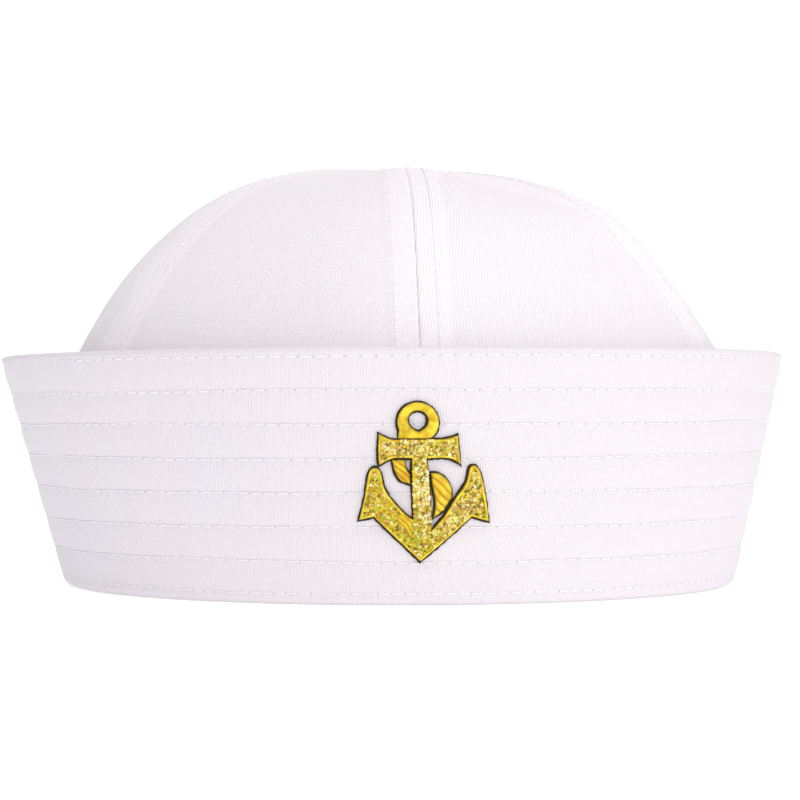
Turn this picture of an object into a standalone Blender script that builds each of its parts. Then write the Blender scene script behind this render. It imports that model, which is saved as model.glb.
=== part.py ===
"""A sailor's cap of white cotton twill, at its real size in metres, front towards -Y, on its rolled fold.

Six gores meet at the crown's peak. A tall brim is sewn on at the head opening, rolled under and turned up
all round, so its outer face leans outwards. A fouled anchor patch sits on the brim's front: a dark felt
backing, a satin frame with a glitter inlay, a satin ring and three lengths of rope.
"""

import math

import bmesh
import bpy
from mathutils import Vector

MM = 0.001

# Brim: the base is measured across the rolled fold, and the fold from the outer face to the head opening.
BASE_WIDTH = 184.0 * MM
BASE_DEPTH = 204.8 * MM
BRIM_HEIGHT = 61.8 * MM
BRIM_FLARE = math.radians(14.0)
BRIM_WALL = 2.2 * MM
FOLD_WIDTH = 7.6 * MM
FOLD_FLAT = 1.0 * MM
LEG_HEIGHT = 9.0 * MM
RIM_LEAN = 1.8 * MM
RIM_TILT = 0.6 * MM
BRIM_SWAY = 1.0 * MM

# Crown: it stands on the brim's inner leg, swells a little and closes at the peak.
CROWN_RISE = 103.4 * MM
CROWN_BULGE = 6.8 * MM
CROWN_WALL = 1.4 * MM
GORE_COUNT = 6
FIRST_SEAM = math.radians(3.2)
GORE_SAG = 1.3 * MM
DENT_DEPTH = 2.0 * MM

# Anchor patch.
ANCHOR_WIDTH = 31.2 * MM
ANCHOR_HEIGHT = 38.9 * MM
ANCHOR_SHIFT = 6.8 * MM
ANCHOR_DROP = 0.9 * MM
RING_RADIUS = 4.9 * MM
RING_HOLE = 2.35 * MM
HOLE_RAISE = 0.5 * MM
FELT_THICKNESS = 0.5 * MM
FELT_MARGIN = 0.35 * MM
FELT_SKIM = 0.03 * MM
SATIN_THICKNESS = 0.7 * MM
ROPE_THICKNESS = 0.5 * MM
FRAME_WIDTH = 0.8 * MM
INLAY_THICKNESS = 0.5 * MM

# Clear space between cloth pieces, and between the thin pieces of the patch.
SEAM_GAP = 0.4 * MM
HEM_GAP = 0.3 * MM
PATCH_GAP = 0.2 * MM

# Fineness of the faceted surfaces.
BRIM_SEGMENTS = 84
WALL_STEPS = 5
FOLD_STEPS = 3
GORE_COLUMNS = 8
GORE_ROWS = 16
OUTLINE_STEP = 2.4 * MM
PATCH_STRIP = 3.6 * MM

# Crown sections from the hem up: share of the rise, and reach as a share of the widest half-width.
# The hem's own section comes from the leg that it stands on.
CROWN_SECTIONS = (
    (0.150, 0.988),
    (0.330, 1.000),
    (0.470, 0.972),
    (0.600, 0.897),
    (0.720, 0.805),
    (0.830, 0.689),
    (0.910, 0.570),
    (0.965, 0.413),
    (0.992, 0.239),
    (1.000, 0.000),
)

# Soft dents in the crown: bearing from the front in degrees, share of the rise, spread in degrees,
# spread as a share of the rise, and depth as a share of DENT_DEPTH. Below 0 the cloth stands out instead.
CROWN_DENTS = (
    (22.0, 0.93, 16.0, 0.07, 0.75),
    (46.0, 0.80, 22.0, 0.12, 0.80),
    (-38.0, 0.72, 24.0, 0.16, 0.30),
    (-92.0, 0.74, 40.0, 0.26, -0.67),
    (128.0, 0.76, 24.0, 0.14, 1.00),
    (-152.0, 0.70, 26.0, 0.16, 0.80),
    (88.0, 0.62, 20.0, 0.14, 0.29),
)

# Slow waves in the brim's wall: bearing from the front in degrees, spread in degrees, and how far the rim
# sways outwards as a share of BRIM_SWAY.
BRIM_WAVES = (
    (-42.0, 22.0, -0.55),
    (36.0, 18.0, 0.45),
    (74.0, 20.0, -0.50),
    (122.0, 24.0, 0.90),
    (168.0, 20.0, -1.00),
    (-146.0, 24.0, 0.80),
    (-98.0, 22.0, 0.50),
)

# Anchor outlines: distance across from the patch's middle as a share of ANCHOR_WIDTH, height above the
# anchor's point as a share of ANCHOR_HEIGHT, and whether the outline turns a corner there.
BODY_OUTLINE = (
    (-0.335, 0.809, True),
    (-0.245, 0.775, False),
    (-0.150, 0.774, False),
    (0.060, 0.774, False),
    (0.165, 0.776, False),
    (0.261, 0.798, True),
    (0.268, 0.700, False),
    (0.276, 0.616, True),
    (0.190, 0.654, False),
    (0.019, 0.655, True),
    (0.040, 0.430, False),
    (0.036, 0.192, True),
    (0.138, 0.285, False),
    (0.225, 0.395, False),
    (0.310, 0.495, False),
    (0.345, 0.592, False),
    (0.385, 0.606, False),
    (0.425, 0.560, False),
    (0.462, 0.400, False),
    (0.480, 0.252, True),
    (0.350, 0.284, True),
    (0.156, 0.141, False),
    (-0.047, 0.000, True),
    (-0.210, 0.133, False),
    (-0.392, 0.286, True),
    (-0.504, 0.264, True),
    (-0.460, 0.400, False),
    (-0.420, 0.560, False),
    (-0.375, 0.595, False),
    (-0.330, 0.568, False),
    (-0.295, 0.450, False),
    (-0.180, 0.325, False),
    (-0.090, 0.262, True),
    (-0.094, 0.440, False),
    (-0.091, 0.655, True),
    (-0.230, 0.655, False),
    (-0.340, 0.612, True),
    (-0.344, 0.702, False),
)
UPPER_ROPE_OUTLINE = (
    (-0.240, 0.644, True),
    (-0.146, 0.644, True),
    (-0.136, 0.592, False),
    (-0.109, 0.548, True),
    (-0.108, 0.492, True),
    (-0.178, 0.513, False),
    (-0.221, 0.570, False),
)
RIGHT_ROPE_OUTLINE = (
    (0.051, 0.560, True),
    (0.112, 0.556, False),
    (0.174, 0.515, False),
    (0.202, 0.458, False),
    (0.204, 0.408, True),
    (0.138, 0.324, True),
    (0.060, 0.274, True),
    (0.078, 0.370, False),
    (0.068, 0.440, False),
    (0.057, 0.490, True),
)
LOWER_ROPE_OUTLINE = (
    (-0.235, 0.292, True),
    (-0.166, 0.302, False),
    (-0.108, 0.268, True),
    (-0.103, 0.205, False),
    (-0.108, 0.156, True),
    (-0.166, 0.206, False),
)

# Ring centre as shares of the anchor's width and height, and the collar that spreads below it.
RING_CENTRE = (-0.036, 0.880)
COLLAR_DROP = 0.103
COLLAR_BEARINGS = (math.radians(220.0), math.radians(305.0))
COLLAR_EASE = math.radians(17.0)
RING_SEGMENTS = 32

# Twill and patch colours: red, green, blue, roughness.
FINISHES = {
    "white_twill": (0.87, 0.86, 0.88, 0.85),
    "dark_felt": (0.020, 0.018, 0.014, 0.90),
    "gold_satin": (0.80, 0.47, 0.04, 0.45),
    "gold_glitter": (0.78, 0.66, 0.22, 0.30),
}

HALF_WIDTH = BASE_WIDTH / 2
HALF_DEPTH = BASE_DEPTH / 2
LEG_REACH = HALF_WIDTH - FOLD_WIDTH + BRIM_WALL / 2
HEM_REACH = LEG_REACH + CROWN_WALL / 2
WIDEST_REACH = HEM_REACH + CROWN_BULGE
DEPTH_RATIO = (HEM_REACH + HALF_DEPTH - HALF_WIDTH) / HEM_REACH
HEM_LEVEL = LEG_HEIGHT + HEM_GAP


def finish(name):
    """The named material, made once."""
    if name in bpy.data.materials:
        return bpy.data.materials[name]
    red, green, blue, roughness = FINISHES[name]
    material = bpy.data.materials.new(name)
    material.use_nodes = True
    shader = material.node_tree.nodes["Principled BSDF"]
    shader.inputs["Base Color"].default_value = (red, green, blue, 1.0)
    shader.inputs["Roughness"].default_value = roughness
    return material


def place(bm, name, finish_name, collection, smooth=False):
    """Turns a finished bmesh into a named object with its material."""
    mesh = bpy.data.meshes.new(name)
    bm.to_mesh(mesh)
    bm.free()
    mesh.materials.append(finish(finish_name))
    if smooth:
        mesh.shade_smooth()
        mesh.set_sharp_from_angle(angle=math.radians(40))
    piece = bpy.data.objects.new(name, mesh)
    collection.objects.link(piece)
    return piece


def bell(distance, spread):
    """1 at no distance, falling smoothly towards 0 past the spread."""
    return math.exp(-((distance / spread) ** 2))


def turn_between(bearing, other):
    """The signed angle from one bearing to the other, the short way round."""
    return (bearing - other + math.pi) % math.tau - math.pi


def sway(bearing):
    """How far the rim leans in or out at a bearing, beyond the even flare."""
    waves = (
        share * bell(turn_between(bearing, math.radians(middle)), math.radians(spread))
        for middle, spread, share in BRIM_WAVES
    )
    return BRIM_SWAY * sum(waves)


def brim_place(bearing, outward, up):
    """A point of the brim: bearing from the front, distance out from the fold's outer edge, and height."""
    share = max(0.0, up) / BRIM_HEIGHT
    drift = outward + sway(bearing) * share**1.5
    return Vector((
        (HALF_WIDTH + drift) * math.sin(bearing) + RIM_LEAN * (1 - share),
        -(HALF_DEPTH + drift) * math.cos(bearing),
        up + RIM_TILT * math.sin(bearing) * share,
    ))


def wall_outward(up):
    """How far out the brim's outer face lies at a height."""
    fold = (FOLD_WIDTH - FOLD_FLAT) / 2
    start = fold - fold * math.sin(BRIM_FLARE)
    edge = -fold + fold * math.cos(BRIM_FLARE)
    return edge + (up - start) * math.tan(BRIM_FLARE)


def brim_section():
    """The brim's cut section as one closed loop: up the outer face, over the rim and back down inside."""
    radius = (FOLD_WIDTH - FOLD_FLAT - BRIM_WALL) / 2
    middle = BRIM_WALL / 2 + radius
    path = []
    rim_level = BRIM_HEIGHT - BRIM_WALL / 2 * math.sin(BRIM_FLARE)
    foot_level = middle - radius * math.sin(BRIM_FLARE)
    foot_outward = -middle + radius * math.cos(BRIM_FLARE)
    wall = Vector((math.sin(BRIM_FLARE), math.cos(BRIM_FLARE)))
    length = (rim_level - foot_level) / math.cos(BRIM_FLARE)
    for step in range(WALL_STEPS):
        along = length * (1 - step / WALL_STEPS)
        path.append((Vector((foot_outward, foot_level)) + wall * along, -BRIM_FLARE))
    for step in range(FOLD_STEPS + 1):
        angle = -BRIM_FLARE + (BRIM_FLARE - math.pi / 2) * step / FOLD_STEPS
        spoke = Vector((math.cos(angle), math.sin(angle)))
        path.append((Vector((-middle, middle)) + radius * spoke, angle))
    for step in range(FOLD_STEPS + 1):
        angle = -math.pi / 2 - math.pi / 2 * step / FOLD_STEPS
        spoke = Vector((math.cos(angle), math.sin(angle)))
        path.append((Vector((-middle - FOLD_FLAT, middle)) + radius * spoke, angle))
    path.append((Vector((-middle - FOLD_FLAT - radius, LEG_HEIGHT)), -math.pi))
    half = BRIM_WALL / 2
    outer = [point + half * Vector((math.cos(angle), math.sin(angle))) for point, angle in path]
    inner = [point - half * Vector((math.cos(angle), math.sin(angle))) for point, angle in path]
    rim = path[0][0] + half * 0.55 * wall
    return outer + inner[::-1] + [rim]


def make_brim(collection):
    """The turned-up brim: its section spun once round, then drawn out to the head's oval."""
    bm = bmesh.new()
    loop = [bm.verts.new((0.0, -(HALF_WIDTH + point.x), point.y)) for point in brim_section()]
    edges = [bm.edges.new(pair) for pair in zip(loop, loop[1:] + loop[:1])]
    bmesh.ops.spin(
        bm,
        geom=loop + edges,
        axis=(0, 0, 1),
        cent=(0, 0, 0),
        angle=math.tau,
        steps=BRIM_SEGMENTS,
        use_merge=True,
    )
    for vert in bm.verts:
        bearing = math.atan2(vert.co.x, -vert.co.y)
        outward = math.hypot(vert.co.x, vert.co.y) - HALF_WIDTH
        vert.co = brim_place(bearing, outward, vert.co.z)
    bmesh.ops.recalc_face_normals(bm, faces=bm.faces)
    return place(bm, "brim", "white_twill", collection, smooth=True)


def smooth_rows(rows, share):
    """A smooth curve through a table's rows, read at a share of the way from the first to the last."""
    spot = min(share, 1.0) * (len(rows) - 1)
    index = min(int(spot), len(rows) - 2)
    t = spot - index
    before = rows[index - 1] if index else [2 * a - b for a, b in zip(rows[0], rows[1])]
    # Past the peak the section comes down again on the other side.
    after = rows[index + 2] if index + 2 < len(rows) else (rows[-2][0], -rows[-2][1])
    found = []
    for a, b, c, d in zip(before, rows[index], rows[index + 1], after):
        found.append(
            0.5 * (2 * b + (c - a) * t + (2 * a - 5 * b + 4 * c - d) * t**2 + (3 * b - a - 3 * c + d) * t**3)
        )
    return found


def dome_place(bearing, climb):
    """A point of the crown's smooth dome, before its gores sag."""
    rows = ((0.0, HEM_REACH / WIDEST_REACH),) + CROWN_SECTIONS
    rise, reach = smooth_rows(rows, climb)
    return Vector((
        reach * WIDEST_REACH * math.sin(bearing) + RIM_LEAN,
        -reach * WIDEST_REACH * DEPTH_RATIO * math.cos(bearing),
        HEM_LEVEL + rise * CROWN_RISE,
    ))


def sunk(bearing, climb):
    """How deep the cloth lies below the smooth dome: flat between the seams, and dented here and there."""
    rows = ((0.0, HEM_REACH / WIDEST_REACH),) + CROWN_SECTIONS
    rise, reach = smooth_rows(rows, climb)
    panel = math.sin(GORE_COUNT / 2 * (bearing - FIRST_SEAM)) ** 2
    depth = GORE_SAG * panel * math.sin(math.pi * min(1.0, climb)) ** 0.8
    for middle, level, spread, height, share in CROWN_DENTS:
        aside = turn_between(bearing, math.radians(middle)) * reach
        depth += DENT_DEPTH * share * bell(aside, math.radians(spread)) * bell(rise - level, height)
    return depth * min(1.0, 6 * climb)


def crown_place(bearing, climb):
    """A point of the crown's outer face."""
    step = 0.004
    here = dome_place(bearing, climb)
    aside = dome_place(bearing + step, climb) - dome_place(bearing - step, climb)
    upward = dome_place(bearing, min(1.0, climb + step)) - dome_place(bearing, climb - step)
    normal = aside.cross(upward)
    if normal.length < 1e-12:
        normal = Vector((0.0, 0.0, 1.0))
    return here - normal.normalized() * sunk(bearing, climb)


def make_gore(index, collection):
    """One gore: a sheet from the hem to the peak, its sides half a seam gap inside its seams."""
    start = FIRST_SEAM + math.tau * index / GORE_COUNT
    rows = ((0.0, HEM_REACH / WIDEST_REACH),) + CROWN_SECTIONS
    tip_reach = SEAM_GAP / 2 / math.sin(math.pi / GORE_COUNT)
    last = 1.0
    while smooth_rows(rows, last)[1] * WIDEST_REACH < tip_reach:
        last -= 0.0005
    bm = bmesh.new()
    bmesh.ops.create_grid(bm, x_segments=GORE_COLUMNS, y_segments=GORE_ROWS, size=0.5)
    for vert in bm.verts:
        across = vert.co.x + 0.5
        climb = last * (vert.co.y + 0.5)
        reach = smooth_rows(rows, climb)[1] * WIDEST_REACH
        margin = math.asin(min(1.0, SEAM_GAP / 2 / reach))
        width = math.tau / GORE_COUNT - 2 * margin
        vert.co = crown_place(start + margin + width * across, climb)
    bmesh.ops.remove_doubles(bm, verts=bm.verts, dist=0.00002)
    gore = place(bm, f"crown_gore_{index + 1}", "white_twill", collection, smooth=True)
    wall = gore.modifiers.new("cloth", "SOLIDIFY")
    wall.thickness = CROWN_WALL
    wall.offset = -1.0
    return gore


def traced(outline):
    """An outline's rows as an even ring of points: straight to each corner, and curved through the rest."""
    rows = [(Vector((across * ANCHOR_WIDTH, up * ANCHOR_HEIGHT)), corner) for across, up, corner in outline]
    points = []
    for index, (start, corner) in enumerate(rows):
        end, end_corner = rows[(index + 1) % len(rows)]
        before = start if corner else rows[index - 1][0]
        after = end if end_corner else rows[(index + 2) % len(rows)][0]
        steps = max(1, round((end - start).length / OUTLINE_STEP))
        for step in range(steps):
            t = step / steps
            leave = (end - before) / 2
            arrive = (after - start) / 2
            points.append(
                start * (2 * t**3 - 3 * t**2 + 1)
                + leave * (t**3 - 2 * t**2 + t)
                + end * (3 * t**2 - 2 * t**3)
                + arrive * (t**3 - t**2)
            )
    return points


def widened(points, distance):
    """A clockwise ring of points moved outwards by a distance, or inwards if it is negative."""
    moved = []
    for index, point in enumerate(points):
        before = (point - points[index - 1]).normalized()
        after = (points[(index + 1) % len(points)] - point).normalized()
        side = Vector((-before.y - after.y, before.x + after.x)).normalized()
        stretch = max(0.55, side.dot(Vector((-before.y, before.x))))
        moved.append(point + side * distance / stretch)
    return moved


def ring_edge(radius, with_collar):
    """The ring's outer or inner edge as a clockwise ring of points."""
    centre = Vector((RING_CENTRE[0] * ANCHOR_WIDTH, RING_CENTRE[1] * ANCHOR_HEIGHT))
    if not with_collar:
        centre.y += HOLE_RAISE
    first, last = COLLAR_BEARINGS
    points = []
    for index in range(RING_SEGMENTS):
        bearing = math.tau * (1 - index / RING_SEGMENTS)
        reach = radius
        if with_collar:
            near = max(first, min(last, bearing))
            flat = COLLAR_DROP * ANCHOR_HEIGHT / abs(math.sin(near))
            ease = min(1.0, abs(bearing - near) / COLLAR_EASE)
            reach = flat + (radius - flat) * ease
        points.append(centre + reach * Vector((math.cos(bearing), math.sin(bearing))))
    return points


def on_brim(point, lift):
    """A point of the flat patch carried onto the brim's outer face, at a height above its cloth."""
    up = BRIM_HEIGHT / 2 - ANCHOR_DROP + (point.y - ANCHOR_HEIGHT / 2) * math.cos(BRIM_FLARE)
    outward = wall_outward(up)
    bearing = math.asin((point.x + ANCHOR_SHIFT) / (HALF_WIDTH + outward))
    up -= lift * math.sin(BRIM_FLARE)
    return brim_place(bearing, outward + lift * math.cos(BRIM_FLARE), up)


def slab(bm, loops, low, high):
    """A flat plate between two heights: one loop filled, or a frame between two loops of as many points."""
    rings = [[bm.verts.new((point.x, point.y, low)) for point in loop] for loop in loops]
    edges = [[bm.edges.new(pair) for pair in zip(ring, ring[1:] + ring[:1])] for ring in rings]
    if len(rings) == 1:
        faces = [bm.faces.new(rings[0])]
    else:
        faces = bmesh.ops.bridge_loops(bm, edges=edges[0] + edges[1])["faces"]
    raised = bmesh.ops.extrude_face_region(bm, geom=faces, use_keep_orig=True)["geom"]
    tops = [item for item in raised if isinstance(item, bmesh.types.BMVert)]
    bmesh.ops.translate(bm, verts=tops, vec=(0, 0, high - low))
    bmesh.ops.recalc_face_normals(bm, faces=bm.faces)


def bend_onto_brim(bm):
    """Cuts a flat plate into narrow upright strips, so that it can follow the brim, and carries it there."""
    strips = math.ceil(ANCHOR_WIDTH / PATCH_STRIP / 2)
    for strip in range(-strips, strips):
        bmesh.ops.bisect_plane(
            bm,
            geom=bm.verts[:] + bm.edges[:] + bm.faces[:],
            dist=1e-6,
            plane_co=((strip + 0.5) * PATCH_STRIP, 0, 0),
            plane_no=(1, 0, 0),
        )
    bmesh.ops.triangulate(bm, faces=bm.faces)
    for vert in bm.verts:
        vert.co = on_brim(vert.co.xy, vert.co.z)


def felt_blank(name, loops, skim, collection):
    """A flat piece of felt, kept as a cutter that is joined into the backing."""
    bm = bmesh.new()
    slab(bm, loops, PATCH_GAP + skim, PATCH_GAP + FELT_THICKNESS - skim)
    blank = place(bm, name, "dark_felt", collection)
    blank.hide_render = True
    blank.display_type = "WIRE"
    return blank


def make_backing(collection, cutters):
    """The dark felt backing, which shows as a thin dark edge round every satin piece."""
    blank = felt_blank("felt_body", [widened(traced(BODY_OUTLINE), FELT_MARGIN)], 0.0, cutters)
    ring = [widened(ring_edge(RING_RADIUS, True), FELT_MARGIN), ring_edge(RING_HOLE - FELT_MARGIN, False)]
    others = {
        "felt_ring": ring,
        "felt_upper_rope": [widened(traced(UPPER_ROPE_OUTLINE), FELT_MARGIN)],
        "felt_right_rope": [widened(traced(RIGHT_ROPE_OUTLINE), FELT_MARGIN)],
    }
    for index, (name, loops) in enumerate(others.items(), start=1):
        join = blank.modifiers.new(name, "BOOLEAN")
        join.operation = "UNION"
        # Each blank is a shade thinner than the last, so that no two of their faces coincide.
        join.object = felt_blank(name, loops, FELT_SKIM * index, cutters)
    graph = bpy.context.evaluated_depsgraph_get()
    mesh = bpy.data.meshes.new_from_object(blank.evaluated_get(graph))
    bm = bmesh.new()
    bm.from_mesh(mesh)
    bpy.data.meshes.remove(mesh)
    bend_onto_brim(bm)
    return place(bm, "anchor_backing", "dark_felt", collection)


def make_patch_piece(name, finish_name, loops, thickness, collection, beneath=0.0):
    """One plate of the patch, seated on the felt backing or on what lies beneath it there."""
    low = PATCH_GAP + FELT_THICKNESS + PATCH_GAP + beneath
    bm = bmesh.new()
    slab(bm, loops, low, low + thickness)
    bend_onto_brim(bm)
    return place(bm, name, finish_name, collection)


def make_anchor(collection, cutters):
    """The fouled anchor: frame, inlay, ring and rope on their backing."""
    make_backing(collection, cutters)
    body = traced(BODY_OUTLINE)
    frame = [body, widened(body, -FRAME_WIDTH)]
    make_patch_piece("anchor_frame", "gold_satin", frame, SATIN_THICKNESS, collection)
    inlay = widened(body, -FRAME_WIDTH - PATCH_GAP)
    make_patch_piece("anchor_inlay", "gold_glitter", [inlay], INLAY_THICKNESS, collection)
    ring = [ring_edge(RING_RADIUS, True), ring_edge(RING_HOLE, False)]
    make_patch_piece("anchor_ring", "gold_satin", ring, SATIN_THICKNESS, collection)
    ropes = {"anchor_rope_upper": UPPER_ROPE_OUTLINE, "anchor_rope_right": RIGHT_ROPE_OUTLINE}
    for name, outline in ropes.items():
        make_patch_piece(name, "gold_satin", [traced(outline)], SATIN_THICKNESS, collection)
    lower = [traced(LOWER_ROPE_OUTLINE)]
    over = SATIN_THICKNESS + PATCH_GAP
    make_patch_piece("anchor_rope_lower", "gold_satin", lower, ROPE_THICKNESS, collection, over)


def main():
    for leftover in list(bpy.data.objects):
        bpy.data.objects.remove(leftover)
    scene_collection = bpy.context.scene.collection
    cap = bpy.data.collections.new("sailor_cap")
    cutters = bpy.data.collections.new("sailor_cap_cutters")
    scene_collection.children.link(cap)
    scene_collection.children.link(cutters)
    make_brim(cap)
    for index in range(GORE_COUNT):
        make_gore(index, cap)
    make_anchor(cap, cutters)


main()
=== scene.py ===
import math
import random

import bmesh
import bpy
import numpy as np
from mathutils import Matrix, Vector


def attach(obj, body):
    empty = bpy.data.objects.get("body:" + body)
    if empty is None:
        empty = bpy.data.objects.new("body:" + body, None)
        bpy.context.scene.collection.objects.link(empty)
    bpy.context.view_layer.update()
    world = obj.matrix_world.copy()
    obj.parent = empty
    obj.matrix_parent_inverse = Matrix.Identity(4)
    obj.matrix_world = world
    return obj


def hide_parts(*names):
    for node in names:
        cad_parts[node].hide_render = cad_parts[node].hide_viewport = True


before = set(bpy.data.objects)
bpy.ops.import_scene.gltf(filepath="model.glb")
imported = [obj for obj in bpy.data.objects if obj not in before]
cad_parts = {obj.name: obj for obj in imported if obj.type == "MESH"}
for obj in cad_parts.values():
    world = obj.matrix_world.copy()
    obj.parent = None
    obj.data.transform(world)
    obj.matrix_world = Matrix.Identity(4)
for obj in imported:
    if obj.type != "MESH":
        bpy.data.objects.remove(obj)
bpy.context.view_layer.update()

# Turned-up brim
# A band of several layers of white cotton twill, quilted flat by eight rows of topstitching and sewn to the
# head opening. It is rolled under and turned up all round, so it flares, and the cap rests on the roll.
MM = 0.001
HALF_WIDTH = 92.0 * MM
HALF_DEPTH = 102.4 * MM
BRIM_HEIGHT = 61.8 * MM
BRIM_FLARE = math.radians(14.0)
BRIM_WALL = 2.2 * MM
FOLD_WIDTH = 7.6 * MM
FOLD_FLAT = 1.0 * MM
LEG_HEIGHT = 9.0 * MM
RIM_LEAN = 1.8 * MM
RIM_TILT = 0.6 * MM
BRIM_SWAY = 1.0 * MM

# Slow waves: bearing from the front in degrees, spread in degrees, share of BRIM_SWAY outwards at the rim.
BRIM_WAVES = (
    (-42.0, 22.0, -0.55),
    (36.0, 18.0, 0.45),
    (74.0, 20.0, -0.50),
    (122.0, 24.0, 0.90),
    (168.0, 20.0, -1.00),
    (-146.0, 24.0, 0.80),
    (-98.0, 22.0, 0.50),
)

# Stitch rows from the rim down: height as a share of the brim's, and how far that row strays, in mm.
STITCH_ROWS = np.array((
    (0.970, 0.14),
    (0.838, 0.26),
    (0.708, 0.30),
    (0.574, 0.26),
    (0.442, 0.32),
    (0.306, 0.28),
    (0.172, 0.26),
    (0.047, 0.20),
))
STITCH_COUNT = 178
COLUMNS_PER_STITCH = 3
ROW_SHIFT = 0.37
NO_ROW = 9.0
WALL_STEP = 0.95 * MM
FOLD_STEPS = 9
LEG_STEPS = 4
END_ROUNDING = 0.42
PUFF = 0.20 * MM
PUFF_WIDTH = 2.6 * MM
GROOVE = 0.26 * MM
GROOVE_WIDTH = 0.55 * MM
PUCKER = 0.05 * MM
RIPPLE_AWAY = 0.9 * MM
RIPPLE_WIDTH = 1.0 * MM
DRAG_STEP = 1.1 * MM
DRAG_WIDTH = 3.0 * MM
INNER_RELIEF = -0.7


def bell(distance, spread):
    """1 at no distance, falling smoothly towards 0 past the spread."""
    return np.exp(-((distance / spread) ** 2))


def ease(low, high, value):
    """0 below low, 1 above high, and smooth between them."""
    share = np.clip((value - low) / (high - low), 0.0, 1.0)
    return share * share * (3 - 2 * share)


def turn_between(bearing, other):
    return (bearing - other + math.pi) % math.tau - math.pi


def sway(bearing):
    waves = [
        share * bell(turn_between(bearing, math.radians(middle)), math.radians(spread))
        for middle, spread, share in BRIM_WAVES
    ]
    return BRIM_SWAY * sum(waves)


def brim_place(bearing, outward, up):
    """Points of the brim: bearing from the front, distance out from the fold's outer edge, and height."""
    share = np.maximum(0.0, up) / BRIM_HEIGHT
    drift = outward + sway(bearing) * share**1.5
    across = (HALF_WIDTH + drift) * np.sin(bearing) + RIM_LEAN * (1 - share)
    deep = -(HALF_DEPTH + drift) * np.cos(bearing)
    return np.stack([across, deep, up + RIM_TILT * np.sin(bearing) * share], axis=-1)


def wall_outward(up):
    """How far out the flared wall's outer face lies at a height."""
    fold = (FOLD_WIDTH - FOLD_FLAT) / 2
    start = fold - fold * math.sin(BRIM_FLARE)
    edge = -fold + fold * math.cos(BRIM_FLARE)
    return edge + (up - start) * math.tan(BRIM_FLARE)


def row_height(bearing, row):
    """The height of a stitch row, which strays a little from its even level."""
    share, stray = STITCH_ROWS[row].T
    slow = np.sin(3 * bearing + 1.7 * row) + 0.6 * np.sin(7 * bearing + 2.9 * row)
    return share * BRIM_HEIGHT + stray * MM * (0.6 * slow + 0.25 * np.sin(19 * bearing + row))


def nearest_row(bearing, up):
    away = [np.abs(up - row_height(bearing, row)) for row in range(len(STITCH_ROWS))]
    return np.argmin(away, axis=0)


def quilted(bearing, up):
    """How far the wall's face stands out: puffed between the stitch rows and drawn in along them."""
    row = nearest_row(bearing, up)
    away = up - row_height(bearing, row)
    count = bearing / math.tau * STITCH_COUNT + ROW_SHIFT * row
    puff = PUFF * (1 - bell(away, PUFF_WIDTH))
    ripple = np.sin(math.tau * count) * bell(np.abs(away) - RIPPLE_AWAY, RIPPLE_WIDTH)
    slow = 0.5 + 0.5 * np.sin(11 * bearing + 2.3 * row + 1.3 * np.sin(5 * bearing))
    drag = np.sin(math.tau * count / 2.7 + away / DRAG_STEP) * bell(away, DRAG_WIDTH) * slow
    return puff - GROOVE * bell(away, GROOVE_WIDTH) + PUCKER * (ripple + 0.9 * drag)


def brim_path():
    """The middle line of the brim's wall: down from the rim, round the fold and up its inner leg."""
    radius = (FOLD_WIDTH - FOLD_FLAT - BRIM_WALL) / 2
    middle = BRIM_WALL / 2 + radius
    foot = Vector((-middle + radius * math.cos(BRIM_FLARE), middle - radius * math.sin(BRIM_FLARE)))
    wall = Vector((math.sin(BRIM_FLARE), math.cos(BRIM_FLARE)))
    length = (BRIM_HEIGHT - BRIM_WALL / 2 * math.sin(BRIM_FLARE) - foot.y) / math.cos(BRIM_FLARE)
    steps = round(length / WALL_STEP)
    path = [(foot + wall * length * (1 - step / steps), -BRIM_FLARE) for step in range(steps)]
    for step in range(FOLD_STEPS + 1):
        angle = -BRIM_FLARE + (BRIM_FLARE - math.pi / 2) * step / FOLD_STEPS
        spoke = Vector((math.cos(angle), math.sin(angle)))
        path.append((Vector((-middle, middle)) + radius * spoke, angle))
    for step in range(FOLD_STEPS + 1):
        angle = -math.pi / 2 * (1 + step / FOLD_STEPS)
        spoke = Vector((math.cos(angle), math.sin(angle)))
        path.append((Vector((-middle - FOLD_FLAT, middle)) + radius * spoke, angle))
    leg_foot = path[-1][0]
    leg_top = Vector((leg_foot.x, LEG_HEIGHT))
    path += [(leg_foot.lerp(leg_top, step / LEG_STEPS), -math.pi) for step in range(1, LEG_STEPS + 1)]
    return path


def brim_section():
    """The wall's cut section as a closed loop, with a softly rounded rim and leg."""
    path = brim_path()
    half = BRIM_WALL / 2
    spokes = [Vector((math.cos(angle), math.sin(angle))) for _, angle in path]
    outer = [point + half * spoke for (point, _), spoke in zip(path, spokes)]
    inner = [point - half * spoke for (point, _), spoke in zip(path, spokes)]
    wall = Vector((math.sin(BRIM_FLARE), math.cos(BRIM_FLARE)))
    ends = []
    for index, ahead in ((-1, Vector((0, 1))), (0, wall)):
        turns = [math.radians(turn) for turn in (-54, -18, 18, 54)]
        side, top = half * spokes[index], END_ROUNDING * half * ahead
        ends.append([path[index][0] + math.sin(turn) * side + math.cos(turn) * top for turn in turns])
    return outer + ends[0][::-1] + inner[::-1] + ends[1]


def name_sockets(group, inputs, outputs):
    """Gives a shader node group its named inputs and outputs, and returns the nodes that hold them."""
    for kind, name, value in inputs:
        socket = group.interface.new_socket(name, in_out="INPUT", socket_type=kind)
        if value is not None:
            socket.default_value = value
    for kind, name in outputs:
        group.interface.new_socket(name, in_out="OUTPUT", socket_type=kind)
    return group.nodes.new("NodeGroupInput"), group.nodes.new("NodeGroupOutput")


def feed(tree, socket, value):
    """Sets a node's input to a plain number or colour, or links another node's output to it."""
    if isinstance(value, (int, float, tuple)):
        socket.default_value = value
    else:
        tree.links.new(value, socket)


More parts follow.
